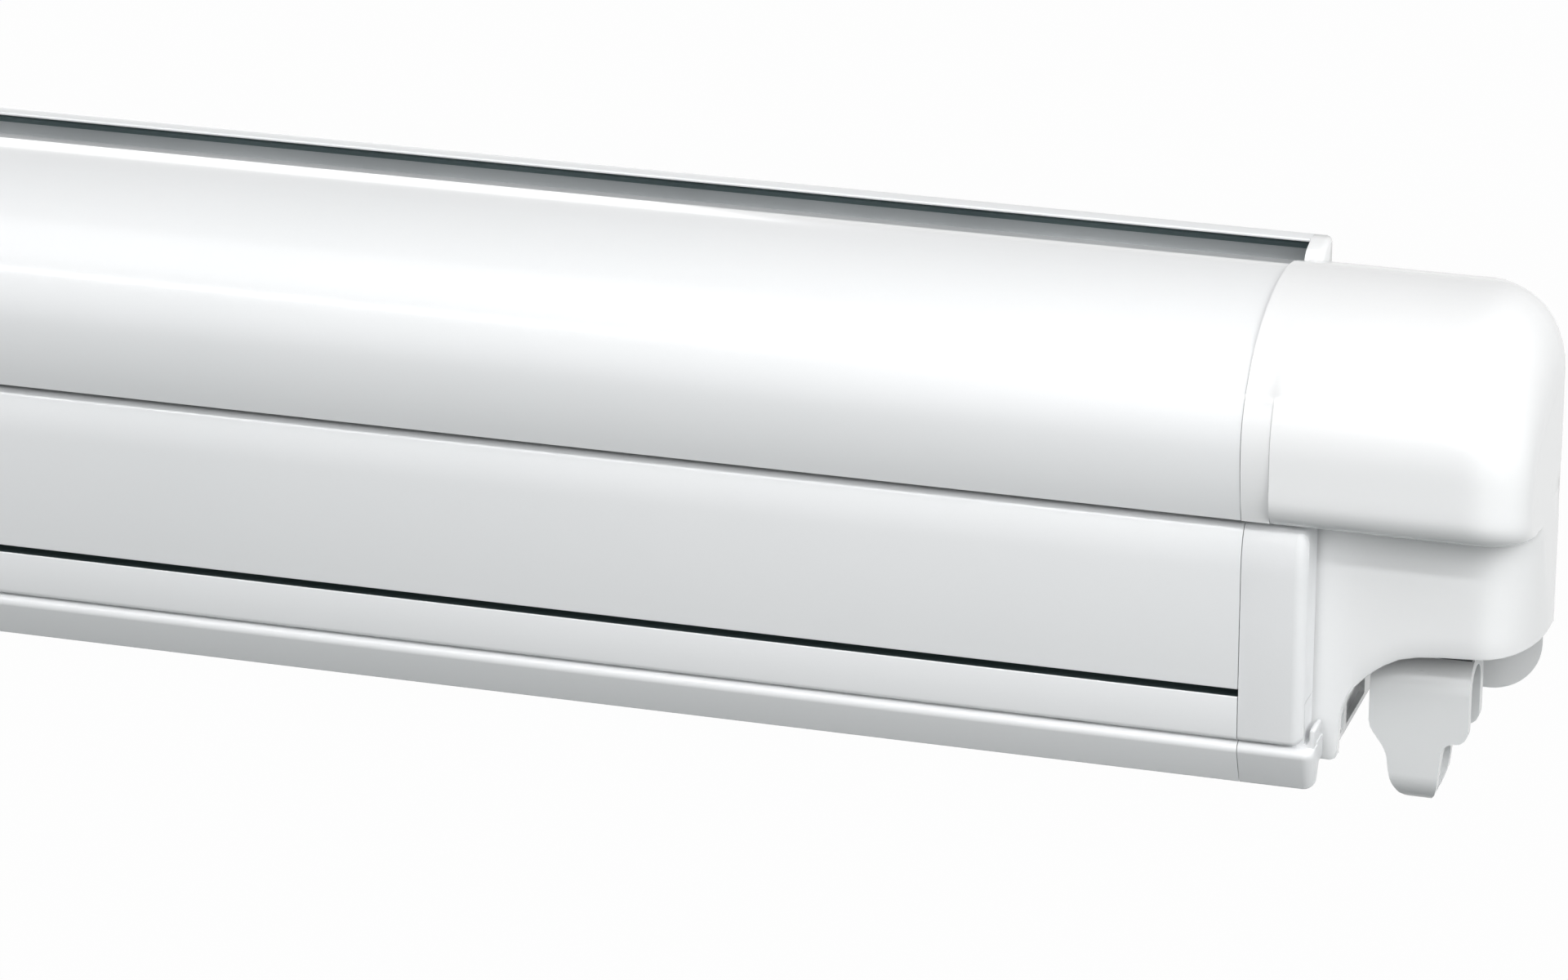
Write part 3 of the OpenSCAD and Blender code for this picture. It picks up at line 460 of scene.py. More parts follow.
# Painted shade in the rear rail channel: grey on its lower wall, dark under the lip.
rail_low = (RAIL_Y - RAIL_R - 0.1, RAIL_Z - RAIL_R - 0.1)
paint_shade(case, "painted_shade_wall", rail_low, (0, RECESS_Z))
paint_shade(case, "painted_shade_recess", (rail_low[0], RECESS_Z), (-2.3, RAIL_Z + RAIL_R * 0.9))

# %% [markdown]
# ## Lead bar and leg tray
# The lead bar closes the mouth of the case. Its top edge is rounded, a narrow groove runs along its face,
# and a channel at the rear holds the bead of the canopy. The tray below it carries the folded legs. Both
# are extrusions, so groove and channel are part of the traced outline and need no cutting.

# %% Lead bar
BAR_FRONT = -92
BAR_REAR = -66
BAR_TOP = 3
BAR_FLOOR = -44
BAR_LIP = -55.6
BAR_SKIN = 3
BAR_LIP_R = 1.6
TOP_ROUND = (4, 12)
REAR_ROUND = 1
BEAD_Y = -69.8
BEAD_R = 2.6
BEAD_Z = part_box("front_bead")[0][2] / MM + BEAD_R
CHANNEL_R = 2.9
SLOT_HALF = 0.8
GROOVE_LOW = -43.7
GROOVE_HIGH = -41.1
GROOVE_DEEP = 8
LOW_EDGE = 0.3
HIGH_EDGE = 0.35

bar_top = arc(BAR_FRONT + TOP_ROUND[0], BAR_TOP - TOP_ROUND[1], *TOP_ROUND, 180, 90, 16)
bar_top += arc(BAR_REAR - REAR_ROUND, BAR_TOP - REAR_ROUND, REAR_ROUND, REAR_ROUND, 90, 0, 4)
bead_channel = [(BAR_REAR, BEAD_Z + SLOT_HALF)] + arc(BEAD_Y, BEAD_Z, CHANNEL_R, CHANNEL_R, 16, 344, 20)
bead_channel += [(BAR_REAR, BEAD_Z - SLOT_HALF)]
bar_low = [(BAR_REAR, BAR_FLOOR), (BAR_FRONT + BAR_SKIN, BAR_FLOOR)]
bar_low += [(BAR_FRONT + BAR_SKIN, BAR_LIP + 0.3)]
bar_lip = arc(BAR_FRONT + 2.2, BAR_LIP + BAR_LIP_R, BAR_LIP_R, BAR_LIP_R, 270, 180, 6)
groove = arc(BAR_FRONT + LOW_EDGE, GROOVE_LOW + LOW_EDGE, LOW_EDGE, LOW_EDGE, 180, 60, 4)
groove += [(BAR_FRONT + 2.6, GROOVE_LOW), (BAR_FRONT + GROOVE_DEEP, GROOVE_LOW)]
groove += [(BAR_FRONT + GROOVE_DEEP, GROOVE_HIGH)]
groove += arc(BAR_FRONT + HIGH_EDGE, GROOVE_HIGH + HIGH_EDGE, HIGH_EDGE, HIGH_EDGE, 270, 180, 4)
lead_bar = trace_profile("lead_bar_profile", bar_top + bead_channel + bar_low + bar_lip + groove)
smooth(lead_bar)
dress(lead_bar, "case_paint", "front_bar", "lead_bar")
# Painted shade inside the groove of the lead bar.
groove_high = (BAR_FRONT + GROOVE_DEEP + 0.2, GROOVE_HIGH + 0.1)
paint_shade(lead_bar, "painted_shade_recess", (BAR_FRONT + 0.4, GROOVE_LOW - 0.1), groove_high)

# %% Leg tray
TRAY_WALL = 1.8
TRAY_FRONT = -88.5
TRAY_INNER = TRAY_FRONT + TRAY_WALL
TRAY_MID = -67.3
TRAY_REAR = -47.9
TRAY_BOTTOM = -68.6
TRAY_SKIRT = -64
TRAY_ROOF = BAR_FLOOR - TRAY_WALL
TRAY_SHELF = BAR_LIP - 0.7
TRAY_EDGE = 0.7
TRAY_ROUND = 2
SLANT = 201

tray_front = arc(TRAY_INNER, TRAY_BOTTOM + TRAY_EDGE, TRAY_EDGE, TRAY_EDGE, 270, SLANT, 6)
tray_front += arc(BAR_FRONT + 2.8, TRAY_SHELF - TRAY_ROUND, TRAY_ROUND, TRAY_ROUND, SLANT, 90, 10)
tray_front += [(TRAY_FRONT, TRAY_SHELF)]
tray_inside = []
for y in (TRAY_REAR, TRAY_MID):
    rib_front = y - TRAY_WALL
    tray_inside += [(y, TRAY_ROOF), (y, TRAY_SKIRT), (rib_front, TRAY_SKIRT), (rib_front, TRAY_ROOF)]
tray_inside[0] = (TRAY_REAR, BAR_FLOOR)
tray_outline = tray_front + [(TRAY_FRONT, BAR_FLOOR)] + tray_inside + [(TRAY_INNER, TRAY_ROOF)]
leg_tray = trace_profile("leg_tray_profile", tray_outline)
smooth(leg_tray)
dress(leg_tray, "case_paint", "front_bar", "leg_tray")

# %% [markdown]
# ## Caps of the bar and the tray
# Moulded caps close the ends of both extrusions. Each is laid as rings: the section stays the same along
# most of the cap, then its front, top and lower edges draw in along a quarter circle. That gives the soft
# edge of a moulding, and leaves the rear edges sharp where they meet other pieces.

# %% Cap helpers
BAR_CAP_LEN = 17
TRAY_CAP_LEN = 20
CAP_EDGE = 3.2
SEAM = 0.2
TOP_FADE = 20
REAR_CLEAR = (20, 60, 100)
REAR_CLEAR_X = 24
REAR_CLEAR_Y = -50
REAR_CLEAR_Z = -30


def quarter(steps):
    return [math.sin(math.radians(90 * i / steps)) for i in range(1, steps + 1)]


def draw_in(outline, inset, front_limit, low_limit):
    """Front and top edges move in by the inset, and the lower edges move up by it."""
    points = []
    for y, z in outline:
        new_y = min(y + inset, max(y, front_limit))
        new_z = z - inset * min(max((z + TOP_FADE) / TOP_FADE, 0), 1)
        if z < low_limit:
            new_z = z + inset
        points.append((new_y, new_z))
    return points


def end_rings(outline, length, front_limit, low_limit):
    rings = [(SEAM, outline), (1, outline), (length - CAP_EDGE, outline)]
    for share in quarter(7):
        inset = CAP_EDGE * (1 - math.sqrt(1 - share * share))
        ring = draw_in(outline, inset, front_limit, low_limit)
        rings.append((length - CAP_EDGE + CAP_EDGE * share, ring))
    return [[(CASE_END + x, y, z) for y, z in ring] for x, ring in rings]


def clear_rear(cap):
    """Shortens the rear of a cap, where the lower wall of the end cap stands."""
    cut_box(cap, (CASE_END + REAR_CLEAR_X, REAR_CLEAR_Y, REAR_CLEAR_Z), REAR_CLEAR)


# %% Bar caps
bar_cap_outline = bar_top + bar_low + bar_lip
bar_cap_rings = end_rings(bar_cap_outline, BAR_CAP_LEN, front_limit=BAR_FRONT + 2.8, low_limit=-50)
bar_cap = lay_rings("right_bar_end", bar_cap_rings)
clear_rear(bar_cap)
smooth(bar_cap, angle=40)
left_bar_cap = mirror_copy(bar_cap, "left_bar_end")
dress(bar_cap, "trim_plastic", "front_bar", "right_bar_cap")
dress(left_bar_cap, "trim_plastic", "front_bar", "left_bar_cap")

# %% [markdown]
# The tray cap is longer than the bar cap above it, and a small lip rises from its end. The lip is traced
# from the front and joined on, because its hollow curve would be lost in the rings.

# %% Tray caps
CAP_ROOF = BAR_FLOOR - 0.3
NOTCH = (10, 40, 19)
NOTCH_Y = -80
NOTCH_Z = -46
TRAY_LIP_IN = 13
TRAY_LIP_OUT = 19.7
TRAY_LIP_FOOT = -58
TRAY_LIP_STEP = TRAY_LIP_FOOT + 2
TRAY_LIP_TOP = -52
TRAY_LIP_TIP = 0.7
HOLLOW_R = 2.2
TRAY_LIP_Y = -88.6
TRAY_LIP_WIDE = 8.2

tray_cap_outline = tray_front + [(TRAY_FRONT, CAP_ROOF), (TRAY_REAR, CAP_ROOF)]
tray_cap_outline += [(TRAY_REAR, TRAY_SKIRT), (-83.1, TRAY_SKIRT)]
tray_cap_rings = end_rings(tray_cap_outline, TRAY_CAP_LEN, front_limit=-86, low_limit=-62)
tray_cap = lay_rings("right_tray_end", tray_cap_rings)
clear_rear(tray_cap)
cut_box(tray_cap, (CASE_END + BAR_CAP_LEN + NOTCH[0] / 2, NOTCH_Y, NOTCH_Z), NOTCH)
hollow_x = TRAY_LIP_OUT - 2 * TRAY_LIP_TIP - HOLLOW_R
lip_outline = [(TRAY_LIP_IN, TRAY_LIP_FOOT), (TRAY_LIP_OUT, TRAY_LIP_FOOT)]
lip_outline += [(TRAY_LIP_OUT, TRAY_LIP_TOP - 0.4)]
lip_outline += arc(TRAY_LIP_OUT - TRAY_LIP_TIP, TRAY_LIP_TOP, TRAY_LIP_TIP, TRAY_LIP_TIP, 0, 180, 8)
lip_outline += arc(hollow_x, TRAY_LIP_STEP + HOLLOW_R, HOLLOW_R, HOLLOW_R, 0, -90, 8)
lip_outline += [(TRAY_LIP_IN, TRAY_LIP_STEP)]
lip = trace("tray_lip", [(CASE_END + x, TRAY_LIP_Y, z) for x, z in lip_outline], (0, TRAY_LIP_WIDE, 0))
round_edges(lip, 0.4, segments=2, angle=60)
tray_cap = join(tray_cap, lip)
smooth(tray_cap, angle=40)
left_tray_cap = mirror_copy(tray_cap, "left_tray_end")
dress(tray_cap, "trim_plastic", "front_bar", "right_tray_cap")
dress(left_tray_cap, "trim_plastic", "front_bar", "left_tray_cap")

# %% [markdown]
# ## End caps
# A cap is one moulded shell. Its rows run from the lower front edge up the set back lower wall, round the
# crease under the bulge, over the nose and the ridge, down the wall side, and back along the lower edge.
# Its columns run along X: flange, bulge, and the rounded end. The last columns draw together on the end
# wall. Blocks cut and bevelled would leave seams here; one grid lets the crease run out into the corner.

# %% End cap section
CAP_LEN = 72
FLANGE = 7.4
FLANGE_LIFT = 0.2
BULGE_LIFT = 0.6
TOP_LIFT = 1
LOW_X = 15.7
LOW_Y = -78
FOOT_ROUND = 1.4
CORNER = 14
CREASE_Z = -1
CREASE_R = 4
EDGE_R = 9
EDGE_Z = 13
BACK_TOP = 40
BACK_LOW = -45
FLOOR_ROWS = 8
FACE_Z = (16, 19, 22)
ARCH = [(LOW_X, -62.6), (16.5, -63.6), (18, -64), (21.4, -64), (22.7, -63.4), (23.4, -62), (23.6, -56),
        (23.8, -52), (24.3, -49.2), (25.4, -46.2), (27.1, -43.1), (29.6, -40.4), (32.2, -38.1),
        (34.8, -36.2), (38.5, -34.2), (43.2, -33), (50, -32.3), (64, -31.6), (CAP_LEN, -31.6)]


def along(table, x):
    """Height at x on a line through points."""
    for (x0, z0), (x1, z1) in zip(table, table[1:]):
        if x <= x1:
            share = max(0, (x - x0) / (x1 - x0))
            return z0 + (z1 - z0) * share
    return table[-1][1]


def on_flange(x):
    return x < FLANGE + 0.1


def tucked(front, z):
    """Point on the flange, which follows the tuck of the case front."""
    return (front + TUCK * ((NOSE_Z - z) / (NOSE_Z - LIP_Z)) ** 2, z)


def lower_wall(x):
    """Rounded lower edge and lower wall, up into the crease under the bulge."""
    low = along(ARCH, x)
    curl = max(0.1, min(1, (CAP_LEN - x) / CORNER))
    foot = low + FOOT_ROUND * curl
    wall = [(LOW_Y + 2.4 * curl, low), (LOW_Y + 1.3 * curl, low), (LOW_Y + 0.4 * curl, low + 0.4 * curl)]
    wall += [(LOW_Y, foot + (CREASE_Z - foot) * i / 6) for i in range(7)]
    return wall + arc(LOW_Y - CREASE_R, CREASE_Z, CREASE_R, CREASE_R, 22.5, 90, 3)


def bulge_front(x):
    """Underside, lower edge and face of the bulge, or of the flange beside it."""
    if on_flange(x):
        front = NOSE_Y - FLANGE_LIFT
        under = [(front + 7, LIP_Z), (front + 5, LIP_Z)]
        edge = [tucked(front, LIP_Z + (EDGE_Z - LIP_Z) * i / 9) for i in range(10)]
        return under + edge + [tucked(front, z) for z in FACE_Z]
    front = NOSE_Y - BULGE_LIFT
    under = [(-84, 3.3), (-86, 3.6)]
    edge = arc(front + EDGE_R, EDGE_Z, EDGE_R, EDGE_R, 270, 180, 9)
    return under + edge + [(front, z) for z in FACE_Z]


def cap_chain(x):
    """Points in y and z of one section, all the way round."""
    wall = lower_wall(x)
    lift = FLANGE_LIFT if on_flange(x) else BULGE_LIFT
    top = []
    for i, (low_point, high_point) in enumerate(zip(case_curve(lift)[::2], case_curve(TOP_LIFT)[::2])):
        top.append(tuple(Vector(low_point).lerp(Vector(high_point), min(i / 9, 1))))
    slope = [(-27, 53), (-18, 50.3), (-13, 48.2), (-5, 45), (-1, 42.5), (0, BACK_TOP)]
    back = [(0, BACK_TOP + (BACK_LOW - BACK_TOP) * i / 7) for i in range(1, 8)]
    foot_y, foot_z = wall[0]
    floor = []
    for i in range(1, FLOOR_ROWS + 1):
        floor.append((foot_y * i / FLOOR_ROWS, BACK_LOW + (foot_z - BACK_LOW) * min(1, i / 5)))
    return wall + bulge_front(x) + top + slope + back + floor


print("points in a section", len(cap_chain(LOW_X)))

# %% End cap grid
TAPER_Y = -45
REAR_SHORT = 16
LOW_CORNER = 28
CORNER_FADE = 30
ROUND_X = 54
TOP_DROP = 22
END_MID = (TAPER_Y, 6)
END_SHARES = (0.04, 0.12, 0.35, 0.7, 1)


def clamp(value):
    return min(max(value, 0), 1)


def bow(share):
    """Sag of a quarter circle: 0 at its start, 1 at its end."""
    return 1 - math.sqrt(1 - share ** 2)


def end_x(y):
    """Where the end wall stands: it draws in towards the wall side, with a soft start."""
    return CAP_LEN - REAR_SHORT * clamp((y - TAPER_Y) / -TAPER_Y) ** 1.4


def cap_point(x, y, z):
    """Rounds the far end of the cap, wider at its lower edge, and pulls it in along the end wall."""
    over_top = clamp((x - ROUND_X) / (CAP_LEN - ROUND_X))
    over_front = clamp((x - CAP_LEN + CORNER) / CORNER)
    drop = TOP_DROP * bow(over_top) * clamp(z / (RIDGE_Z + TOP_LIFT)) ** 1.2
    deep = CORNER + (LOW_CORNER - CORNER) * clamp(-z / CORNER_FADE)
    back = deep * bow(over_front) * clamp((TAPER_Y - y) / CORNER_FADE)
    return (x * end_x(y) / CAP_LEN, y + back, z - drop)


flange_x = [SEAM, 3.7, FLANGE]
bulge_x = [FLANGE + 0.3, 11, 15.2]
arch_steps = [0, 0.4, 0.8, 1.5, 2.3, 4, 5.7, 6.4, 7, 7.4, 7.7, 7.9, 8.1, 8.35, 8.6, 9.1, 9.7, 10.5, 11.4]
arch_steps += [12.6, 13.9, 15.2, 16.5, 17.8, 19.1, 21, 22.8, 25.1, 27.5, 30.9, 34.3, 38.2]
low_x = [LOW_X + step for step in arch_steps]
round_x = [ROUND_X + (CAP_LEN - ROUND_X) * share for share in quarter(10)]
columns = []
for x in flange_x + bulge_x + low_x + round_x:
    columns.append([cap_point(x, y, z) for y, z in cap_chain(x)])
rim = columns[-1]
for share in END_SHARES:
    ring = []
    for x, y, z in rim:
        inner_y = y + (END_MID[0] - y) * share
        inner_z = z + (END_MID[1] - z) * share
        ring.append((end_x(inner_y), inner_y, inner_z))
    columns.append(ring)
columns = [[(CASE_END + x, y, z) for x, y, z in column] for column in columns]
print("end cap grid", len(columns), "x", len(columns[0]))

# %% [markdown]
# The grid closes the flange and the underside too, where the real cap is open. Those faces are deleted, and
# a Solidify modifier gives the shell its thickness. The wall beside the front leg and the foot at the wall
# side are pieces of their own, joined to the shell.

# %% End cap pieces
WALL_ROWS = 13
SHELL = 2.2
SHELL_MERGE = 0.01 * MM
SIDE_THICK = 5.4
POCKETS = [(-64, 7), (-46, 22)]
TAIL_ROUND = 14
TAIL_TOP = -34
TAIL_Y = (-22, -15, -8, -0.2)


def cap_shell(name):
    cap = lay_grid(name, columns)
    across = len(columns[0])
    first_low = len(flange_x) + len(bulge_x)
    last_round = first_low + len(low_x) + len(round_x) - 1
    edit_all(cap)
    bpy.ops.mesh.select_all(action="DESELECT")
    bpy.ops.object.mode_set(mode="OBJECT")
    for face in cap.data.polygons:
        rows = [v % across for v in face.vertices]
        stations = [v // across for v in face.vertices]
        under_flange = max(rows) <= WALL_ROWS and max(stations) <= first_low
        open_floor = max(rows) >= across - FLOOR_ROWS and max(stations) <= last_round
        face.select = under_flange or open_floor
    bpy.ops.object.mode_set(mode="EDIT")
    bpy.ops.mesh.select_mode(type="FACE")
    bpy.ops.mesh.delete(type="FACE")
    bpy.ops.mesh.select_mode(type="VERT")
    bpy.ops.mesh.select_all(action="SELECT")
    bpy.ops.mesh.remove_doubles(threshold=SHELL_MERGE)
    close_edit()
    apply_modifier(cap, "SOLIDIFY", thickness=SHELL * MM, offset=-1)
    return cap


def cap_inner_wall(name):
    """Side wall behind the front leg, with two pockets moulded into its inner face."""
    side_x = CASE_END + LOW_X + 0.1
    side = [(LOW_Y + 1, -61.5), (LOW_Y + 1, 2), (-3, 2), (-3, -63.6), (LOW_Y + 3, -63.6)]
    wall = trace(name, [(side_x, y, z) for y, z in side], (SIDE_THICK, 0, 0))
    for middle, width in POCKETS:
        cut_box(wall, (side_x + SIDE_THICK, middle, -37), (3, width, 50))
    return wall


def cap_tail(name):
    """Foot of the cap behind the hollow: it closes the end of the case floor, as far as the end wall."""
    rings = []
    for y in TAIL_Y:
        reach = end_x(y) - 0.3
        outside = [(SEAM, TAIL_TOP), (SEAM, FLOOR_Z)]
        outside += arc(reach - TAIL_ROUND, FLOOR_Z + TAIL_ROUND, TAIL_ROUND, TAIL_ROUND, 270, 360, 12)
        outside += [(reach, TAIL_TOP)]
        rings.append([(CASE_END + x, y, z) for x, z in outside])
    return lay_rings(name, rings)


end_cap = join(cap_shell("right_cap_shell"), cap_inner_wall("leg_side"), cap_tail("tail"))
smooth(end_cap, angle=35)
left_cap = mirror_copy(end_cap, "left_cap_shell")
dress(end_cap, "cap_plastic", "case", "right_end_cap")
dress(left_cap, "cap_plastic", "case", "left_end_cap")

# %% [markdown]
# ## Rail plugs and crank eye
# The plugs close the ends of the rear rail, and are rings that shrink towards their outer face. The crank
# eye is a bent saddle: traced from the side, then trimmed by its front view, so that the wide saddle
# narrows in two curves to the ring that takes the crank. Weighted normals keep its flat faces flat beside
# the rounded edges.

# %% Rail plugs
PLUG_Y = -5.2
PLUG_Z = 46.2
PLUG_R = 5.2
PLUG_STEPS = [(-3.4, 1), (0, 1), (0.8, 0.97), (1.3, 0.9), (1.6, 0.78)]


def shrink(outline, scale):
    return [(PLUG_Y + (y - PLUG_Y) * scale, PLUG_Z + (z - PLUG_Z) * scale) for y, z in outline]


plug_outline = [(-0.2, 42), (-0.2, 51), (-0.8, 51.4), (-4.6, 51.4)]
plug_outline += arc(RAIL_Y, RAIL_Z, PLUG_R, PLUG_R, 110, 300, 14)
plug_rings = []
for x, scale in PLUG_STEPS:
    plug_rings.append([(CASE_END + x, y, z) for y, z in shrink(plug_outline, scale)])
rail_plug = lay_rings("right_rail_plug", plug_rings)
smooth(rail_plug, angle=40)
rail_plugs = join(rail_plug, mirror_copy(rail_plug, "left_rail_plug"))
rail_plugs.name = "rail_plug_pair"
dress(rail_plugs, "cap_plastic", "case", "rail_end_plugs")

# %% Crank eye
EYE_X = CASE_END + 42
EYE_Y = -57.5
EYE_HALF = 13
EYE_R = 9
EYE_INNER = 5.7
BEND_Z = -47
REAR_FOOT = -60
RING_Z = -70
HOLE_R = 6.5
VIEW_TOP = -37
NECK_X = 9.75

eye_outline = [(EYE_R, REAR_FOOT)] + arc(0, BEND_Z, EYE_R, EYE_R, 0, 180, 28)
eye_outline += arc(0, RING_Z, EYE_R, EYE_R, 180, 486, 50) + [(-EYE_INNER, -57.5)]
eye_outline += arc(0, BEND_Z, EYE_INNER, EYE_INNER, 180, 0, 20) + [(EYE_INNER, REAR_FOOT)]
eye_side = [(EYE_X - EYE_HALF, EYE_Y + y, z) for y, z in eye_outline]
eye = trace("crank_eye_saddle", eye_side, (2 * EYE_HALF, 0, 0))
right_side = [(EYE_HALF, VIEW_TOP)] + arc(NECK_X, -56.5, 3.25, 3.75, 0, -90, 10)
right_side += arc(NECK_X, -64, 3.75, 3.75, 90, 180, 10)
right_foot = [(5.8, -68), (5.3, -73), (4.4, -76.2), (3, -78.4), (1.6, -79.4)]
left_foot = [(-1.4, -79.4), (-2.9, -78.2), (-4.9, -76.4), (-6.3, -73.8), (-7, -72), (-7.6, -68.9)]
left_side = [(-8, -65.8), (-8.5, -64.2), (-9.3, -62.6), (-10.5, -61), (-11.7, -59.3), (-12.6, -57.8)]
left_side += [(-EYE_HALF, -56), (-EYE_HALF, VIEW_TOP)]
front_view = right_side + right_foot + left_foot + left_side
trim = trace("trim", [(EYE_X + x, EYE_Y - 20, z) for x, z in front_view], (0, 40, 0))
cut(eye, trim, "INTERSECT")
cut_bore(eye, (EYE_X, EYE_Y, RING_Z), HOLE_R, 60, (0, math.pi / 2, 0), vertices=48)
cut_box(eye, (EYE_X, EYE_Y, -40), (13.5, 8.2, 8))
round_edges(eye, 0.8, segments=3, angle=50)
smooth(eye, angle=40)
apply_modifier(eye, "WEIGHTED_NORMAL", keep_sharp=True)
dress(eye, "cap_plastic", "eye", "crank_eye")
# The darker eye moulding is painted shade.
eye.data.materials[0] = finishes["shaded_eye_plastic"]

# %% [markdown]
# ## Canopy
# Most of the cloth is wound on the roller as one long spiral. The short free strip runs down to the bead in
# the lead bar. It would tear off at the other end if it rode on one body; here it rides on none and is laid
# flat. Cloth under pull lies straight, so no cloth simulation is needed.

# %% Cloth finish
STRIPE_HALF = 0.085
STRIPE_EDGE = 0.052
WEAVE_SCALE = 900
WEAVE_BUMP = 0.15
CLOTH_ROUGHNESS = 0.72
CLOTH_LIGHT = (0.62, 0.64, 0.66, 1)
CLOTH_DARK = (0.4, 0.43, 0.46, 1)


def build_cloth():
    cloth = bpy.data.materials.new("awning_cloth")
    cloth.use_nodes = True
    tree = cloth.node_tree
    shader = tree.nodes["Principled BSDF"]
    shader.inputs["Roughness"].default_value = CLOTH_ROUGHNESS
    coords = tree.nodes.new("ShaderNodeTexCoord")
    split = tree.nodes.new("ShaderNodeSeparateXYZ")
    tree.links.new(coords.outputs["Object"], split.inputs["Vector"])
    wave = tree.nodes.new("ShaderNodeMath")
    wave.operation = "PINGPONG"
    wave.inputs[1].default_value = STRIPE_HALF
    tree.links.new(split.outputs["X"], wave.inputs[0])
    bands = tree.nodes.new("ShaderNodeValToRGB")
    bands.color_ramp.interpolation = "CONSTANT"
    bands.color_ramp.elements[0].color = CLOTH_LIGHT
    bands.color_ramp.elements[1].position = STRIPE_EDGE
    bands.color_ramp.elements[1].color = CLOTH_DARK
    tree.links.new(wave.outputs["Value"], bands.inputs["Fac"])
    tree.links.new(bands.outputs["Color"], shader.inputs["Base Color"])
    weave = tree.nodes.new("ShaderNodeTexWave")
    weave.inputs["Scale"].default_value = WEAVE_SCALE
    tree.links.new(coords.outputs["Object"], weave.inputs["Vector"])
    relief = tree.nodes.new("ShaderNodeBump")
    relief.inputs["Strength"].default_value = WEAVE_BUMP
    relief.inputs["Distance"].default_value = BUMP_HEIGHT
    tree.links.new(weave.outputs["Fac"], relief.inputs["Height"])
    tree.links.new(relief.outputs["Normal"], shader.inputs["Normal"])
    return cloth


finishes["canopy_fabric"] = build_cloth()
print("cloth", finishes["canopy_fabric"].name)

# %% Wound cloth
CLOTH_HALF = 850
ROLLER_Y = -42
ROLLER_Z = 27
CORE_R = 22.3
CLOTH_GAP = 0.39
WOUND_LENGTH = 1500
WIND_STEP = math.radians(9)

turns = []
angle = 0
length = 0
radius = CORE_R
while length < WOUND_LENGTH:
    turns.append((ROLLER_Y + radius * math.sin(angle), ROLLER_Z - radius * math.cos(angle)))
    angle += WIND_STEP
    radius = CORE_R + CLOTH_GAP * angle / math.tau
    length += radius * WIND_STEP
wound_rows = [[(x, y, z) for x in (-CLOTH_HALF, 0, CLOTH_HALF)] for y, z in turns]
wound = lay_grid("wound_cloth", wound_rows)
smooth(wound, angle=60)
dress(wound, "canopy_fabric", "roller", "canopy_roll")
print("wound radius", round(radius, 2), "length", round(length, 1))

# %% Free cloth
PITCH = math.radians(6)
LEAVE_R = 26.4
BEAD_HOLD = 2.7
STRIP_ROWS = 24
STRIP_ACROSS = 20

leave = (ROLLER_Y + LEAVE_R * math.sin(PITCH), ROLLER_Z - LEAVE_R * math.cos(PITCH))
free_length = (leave[0] - BEAD_Y) / math.cos(PITCH) - BEAD_HOLD
strip_rows = []
for i in range(STRIP_ROWS + 1):
    run = free_length * i / STRIP_ROWS
    y = leave[0] - run * math.cos(PITCH)
    z = leave[1] - run * math.sin(PITCH)
    strip_rows.append([(CLOTH_HALF * (2 * k / STRIP_ACROSS - 1), y, z) for k in range(STRIP_ACROSS + 1)])
strip = lay_grid("free_cloth", strip_rows)
smooth(strip, angle=60)
dress(strip, "canopy_fabric", None, "canopy_sheet")
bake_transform(strip)

# %% [markdown]
# ## Finishes of the inner parts
# Every node of the frame takes the finish of its material slot. The inner parts that no piece replaces,
# such as arms, roller and winch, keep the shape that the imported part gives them.

# %% Inner finishes
for part in frame["record"]["subparts"]:
    node = frame["nodes"][part["node"]]
    node.data.materials.clear()
    node.data.materials.append(finishes[part["material_slot"]])
print("finished", len(frame["nodes"]), "nodes")

# %% [markdown]
# ## Studio
# A wide soft box overhead, a narrow strip close in front that models the nose, a soft box beside the crank
# end, a wide fill from the front and one from behind. The pale floor lies far below. The background reads
# white to the camera and to reflections, and the floor still takes the shadow.

# %% Floor
FLOOR_DEPTH = -2.1
FLOOR_SIZE = 60
FLOOR_GLOW = 0.985


def seen_directly(tree):
    """1 where the camera, a reflection or a clear material looks straight at the background."""
    path = tree.nodes.new("ShaderNodeLightPath")
    first = tree.nodes.new("ShaderNodeMath")
    first.operation = "MAXIMUM"
    tree.links.new(path.outputs["Is Camera Ray"], first.inputs[0])
    tree.links.new(path.outputs["Is Glossy Ray"], first.inputs[1])
    both = tree.nodes.new("ShaderNodeMath")
    both.operation = "MAXIMUM"
    tree.links.new(first.outputs["Value"], both.inputs[0])
    tree.links.new(path.outputs["Is Transmission Ray"], both.inputs[1])
    return both.outputs["Value"]


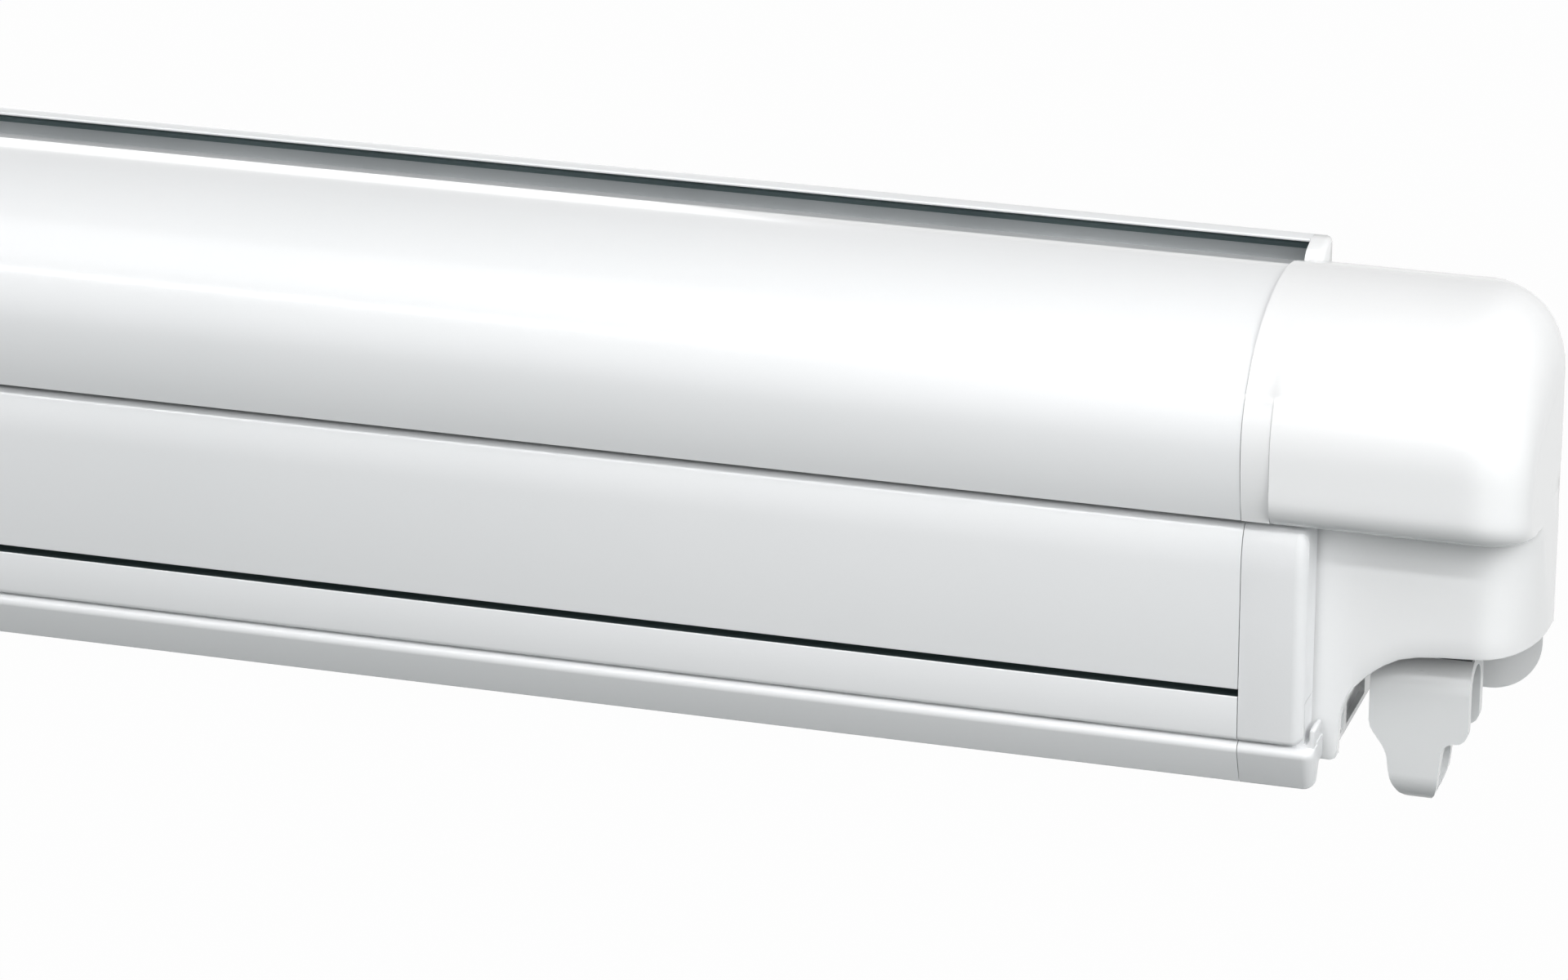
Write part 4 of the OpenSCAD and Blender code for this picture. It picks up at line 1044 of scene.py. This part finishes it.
bpy.ops.object.select_all(action="DESELECT")
bpy.ops.mesh.primitive_plane_add(size=FLOOR_SIZE, location=(0, 0, FLOOR_DEPTH))
floor = bpy.context.object
floor.name = "studio_floor"
paper = bpy.data.materials.new("studio_paper")
paper.use_nodes = True
tree = paper.node_tree
matte = tree.nodes["Principled BSDF"]
matte.inputs["Base Color"].default_value = (0.2, 0.25, 0.25, 1)
matte.inputs["Roughness"].default_value = 0.9
glow = tree.nodes.new("ShaderNodeEmission")
part_glow = tree.nodes.new("ShaderNodeMath")
part_glow.operation = "MULTIPLY"
part_glow.inputs[1].default_value = FLOOR_GLOW
tree.links.new(seen_directly(tree), part_glow.inputs[0])
mix = tree.nodes.new("ShaderNodeMixShader")
tree.links.new(part_glow.outputs["Value"], mix.inputs["Fac"])
tree.links.new(matte.outputs["BSDF"], mix.inputs[1])
tree.links.new(glow.outputs["Emission"], mix.inputs[2])
tree.links.new(mix.outputs["Shader"], tree.nodes["Material Output"].inputs["Surface"])
floor.data.materials.append(paper)
print("floor at", FLOOR_DEPTH)

# %% Background
WORLD_LIGHT = 0.12
WORLD_WHITE = 1.0

world = bpy.data.worlds.new("studio")
bpy.context.scene.world = world
world.use_nodes = True
sky = world.node_tree.nodes["Background"]
level = world.node_tree.nodes.new("ShaderNodeMapRange")
level.inputs["To Min"].default_value = WORLD_LIGHT
level.inputs["To Max"].default_value = WORLD_WHITE
world.node_tree.links.new(seen_directly(world.node_tree), level.inputs["Value"])
world.node_tree.links.new(level.outputs["Result"], sky.inputs["Strength"])
sky.inputs["Color"].default_value = (1, 1, 1, 1)
print("world light", WORLD_LIGHT)


# %% Lamps
def add_lamp(name, place, aim, size, power, in_view=True):
    light = bpy.data.lights.new(name, "AREA")
    light.shape = "RECTANGLE"
    light.size = size[0]
    light.size_y = size[1]
    light.energy = power
    lamp = bpy.data.objects.new(name, light)
    bpy.context.scene.collection.objects.link(lamp)
    lamp.location = place
    lamp.rotation_euler = (Vector(aim) - Vector(place)).to_track_quat("-Z", "Y").to_euler()
    lamp.visible_camera = in_view


add_lamp("overhead_box", (0.6, -0.9, 2.4), aim=(0.7, -0.05, 0), size=(4.0, 1.6), power=19)
add_lamp("near_strip", (0.3, -0.5, 0.42), aim=(0.3, -0.09, -0.01), size=(2.6, 0.03), power=2.6,
         in_view=False)
add_lamp("side_box", (1.9, -0.5, 0.5), aim=(0.95, -0.05, 0), size=(0.9, 0.9), power=9, in_view=False)
add_lamp("front_fill", (1.7, -2.6, 1.5), aim=(0.8, -0.05, 0), size=(3.0, 1.4), power=44)
add_lamp("rear_fill", (-1.6, 2.6, 0.5), aim=(0, -0.05, 0), size=(3.0, 1.4), power=22, in_view=False)
bpy.context.scene.view_settings.view_transform = "Standard"
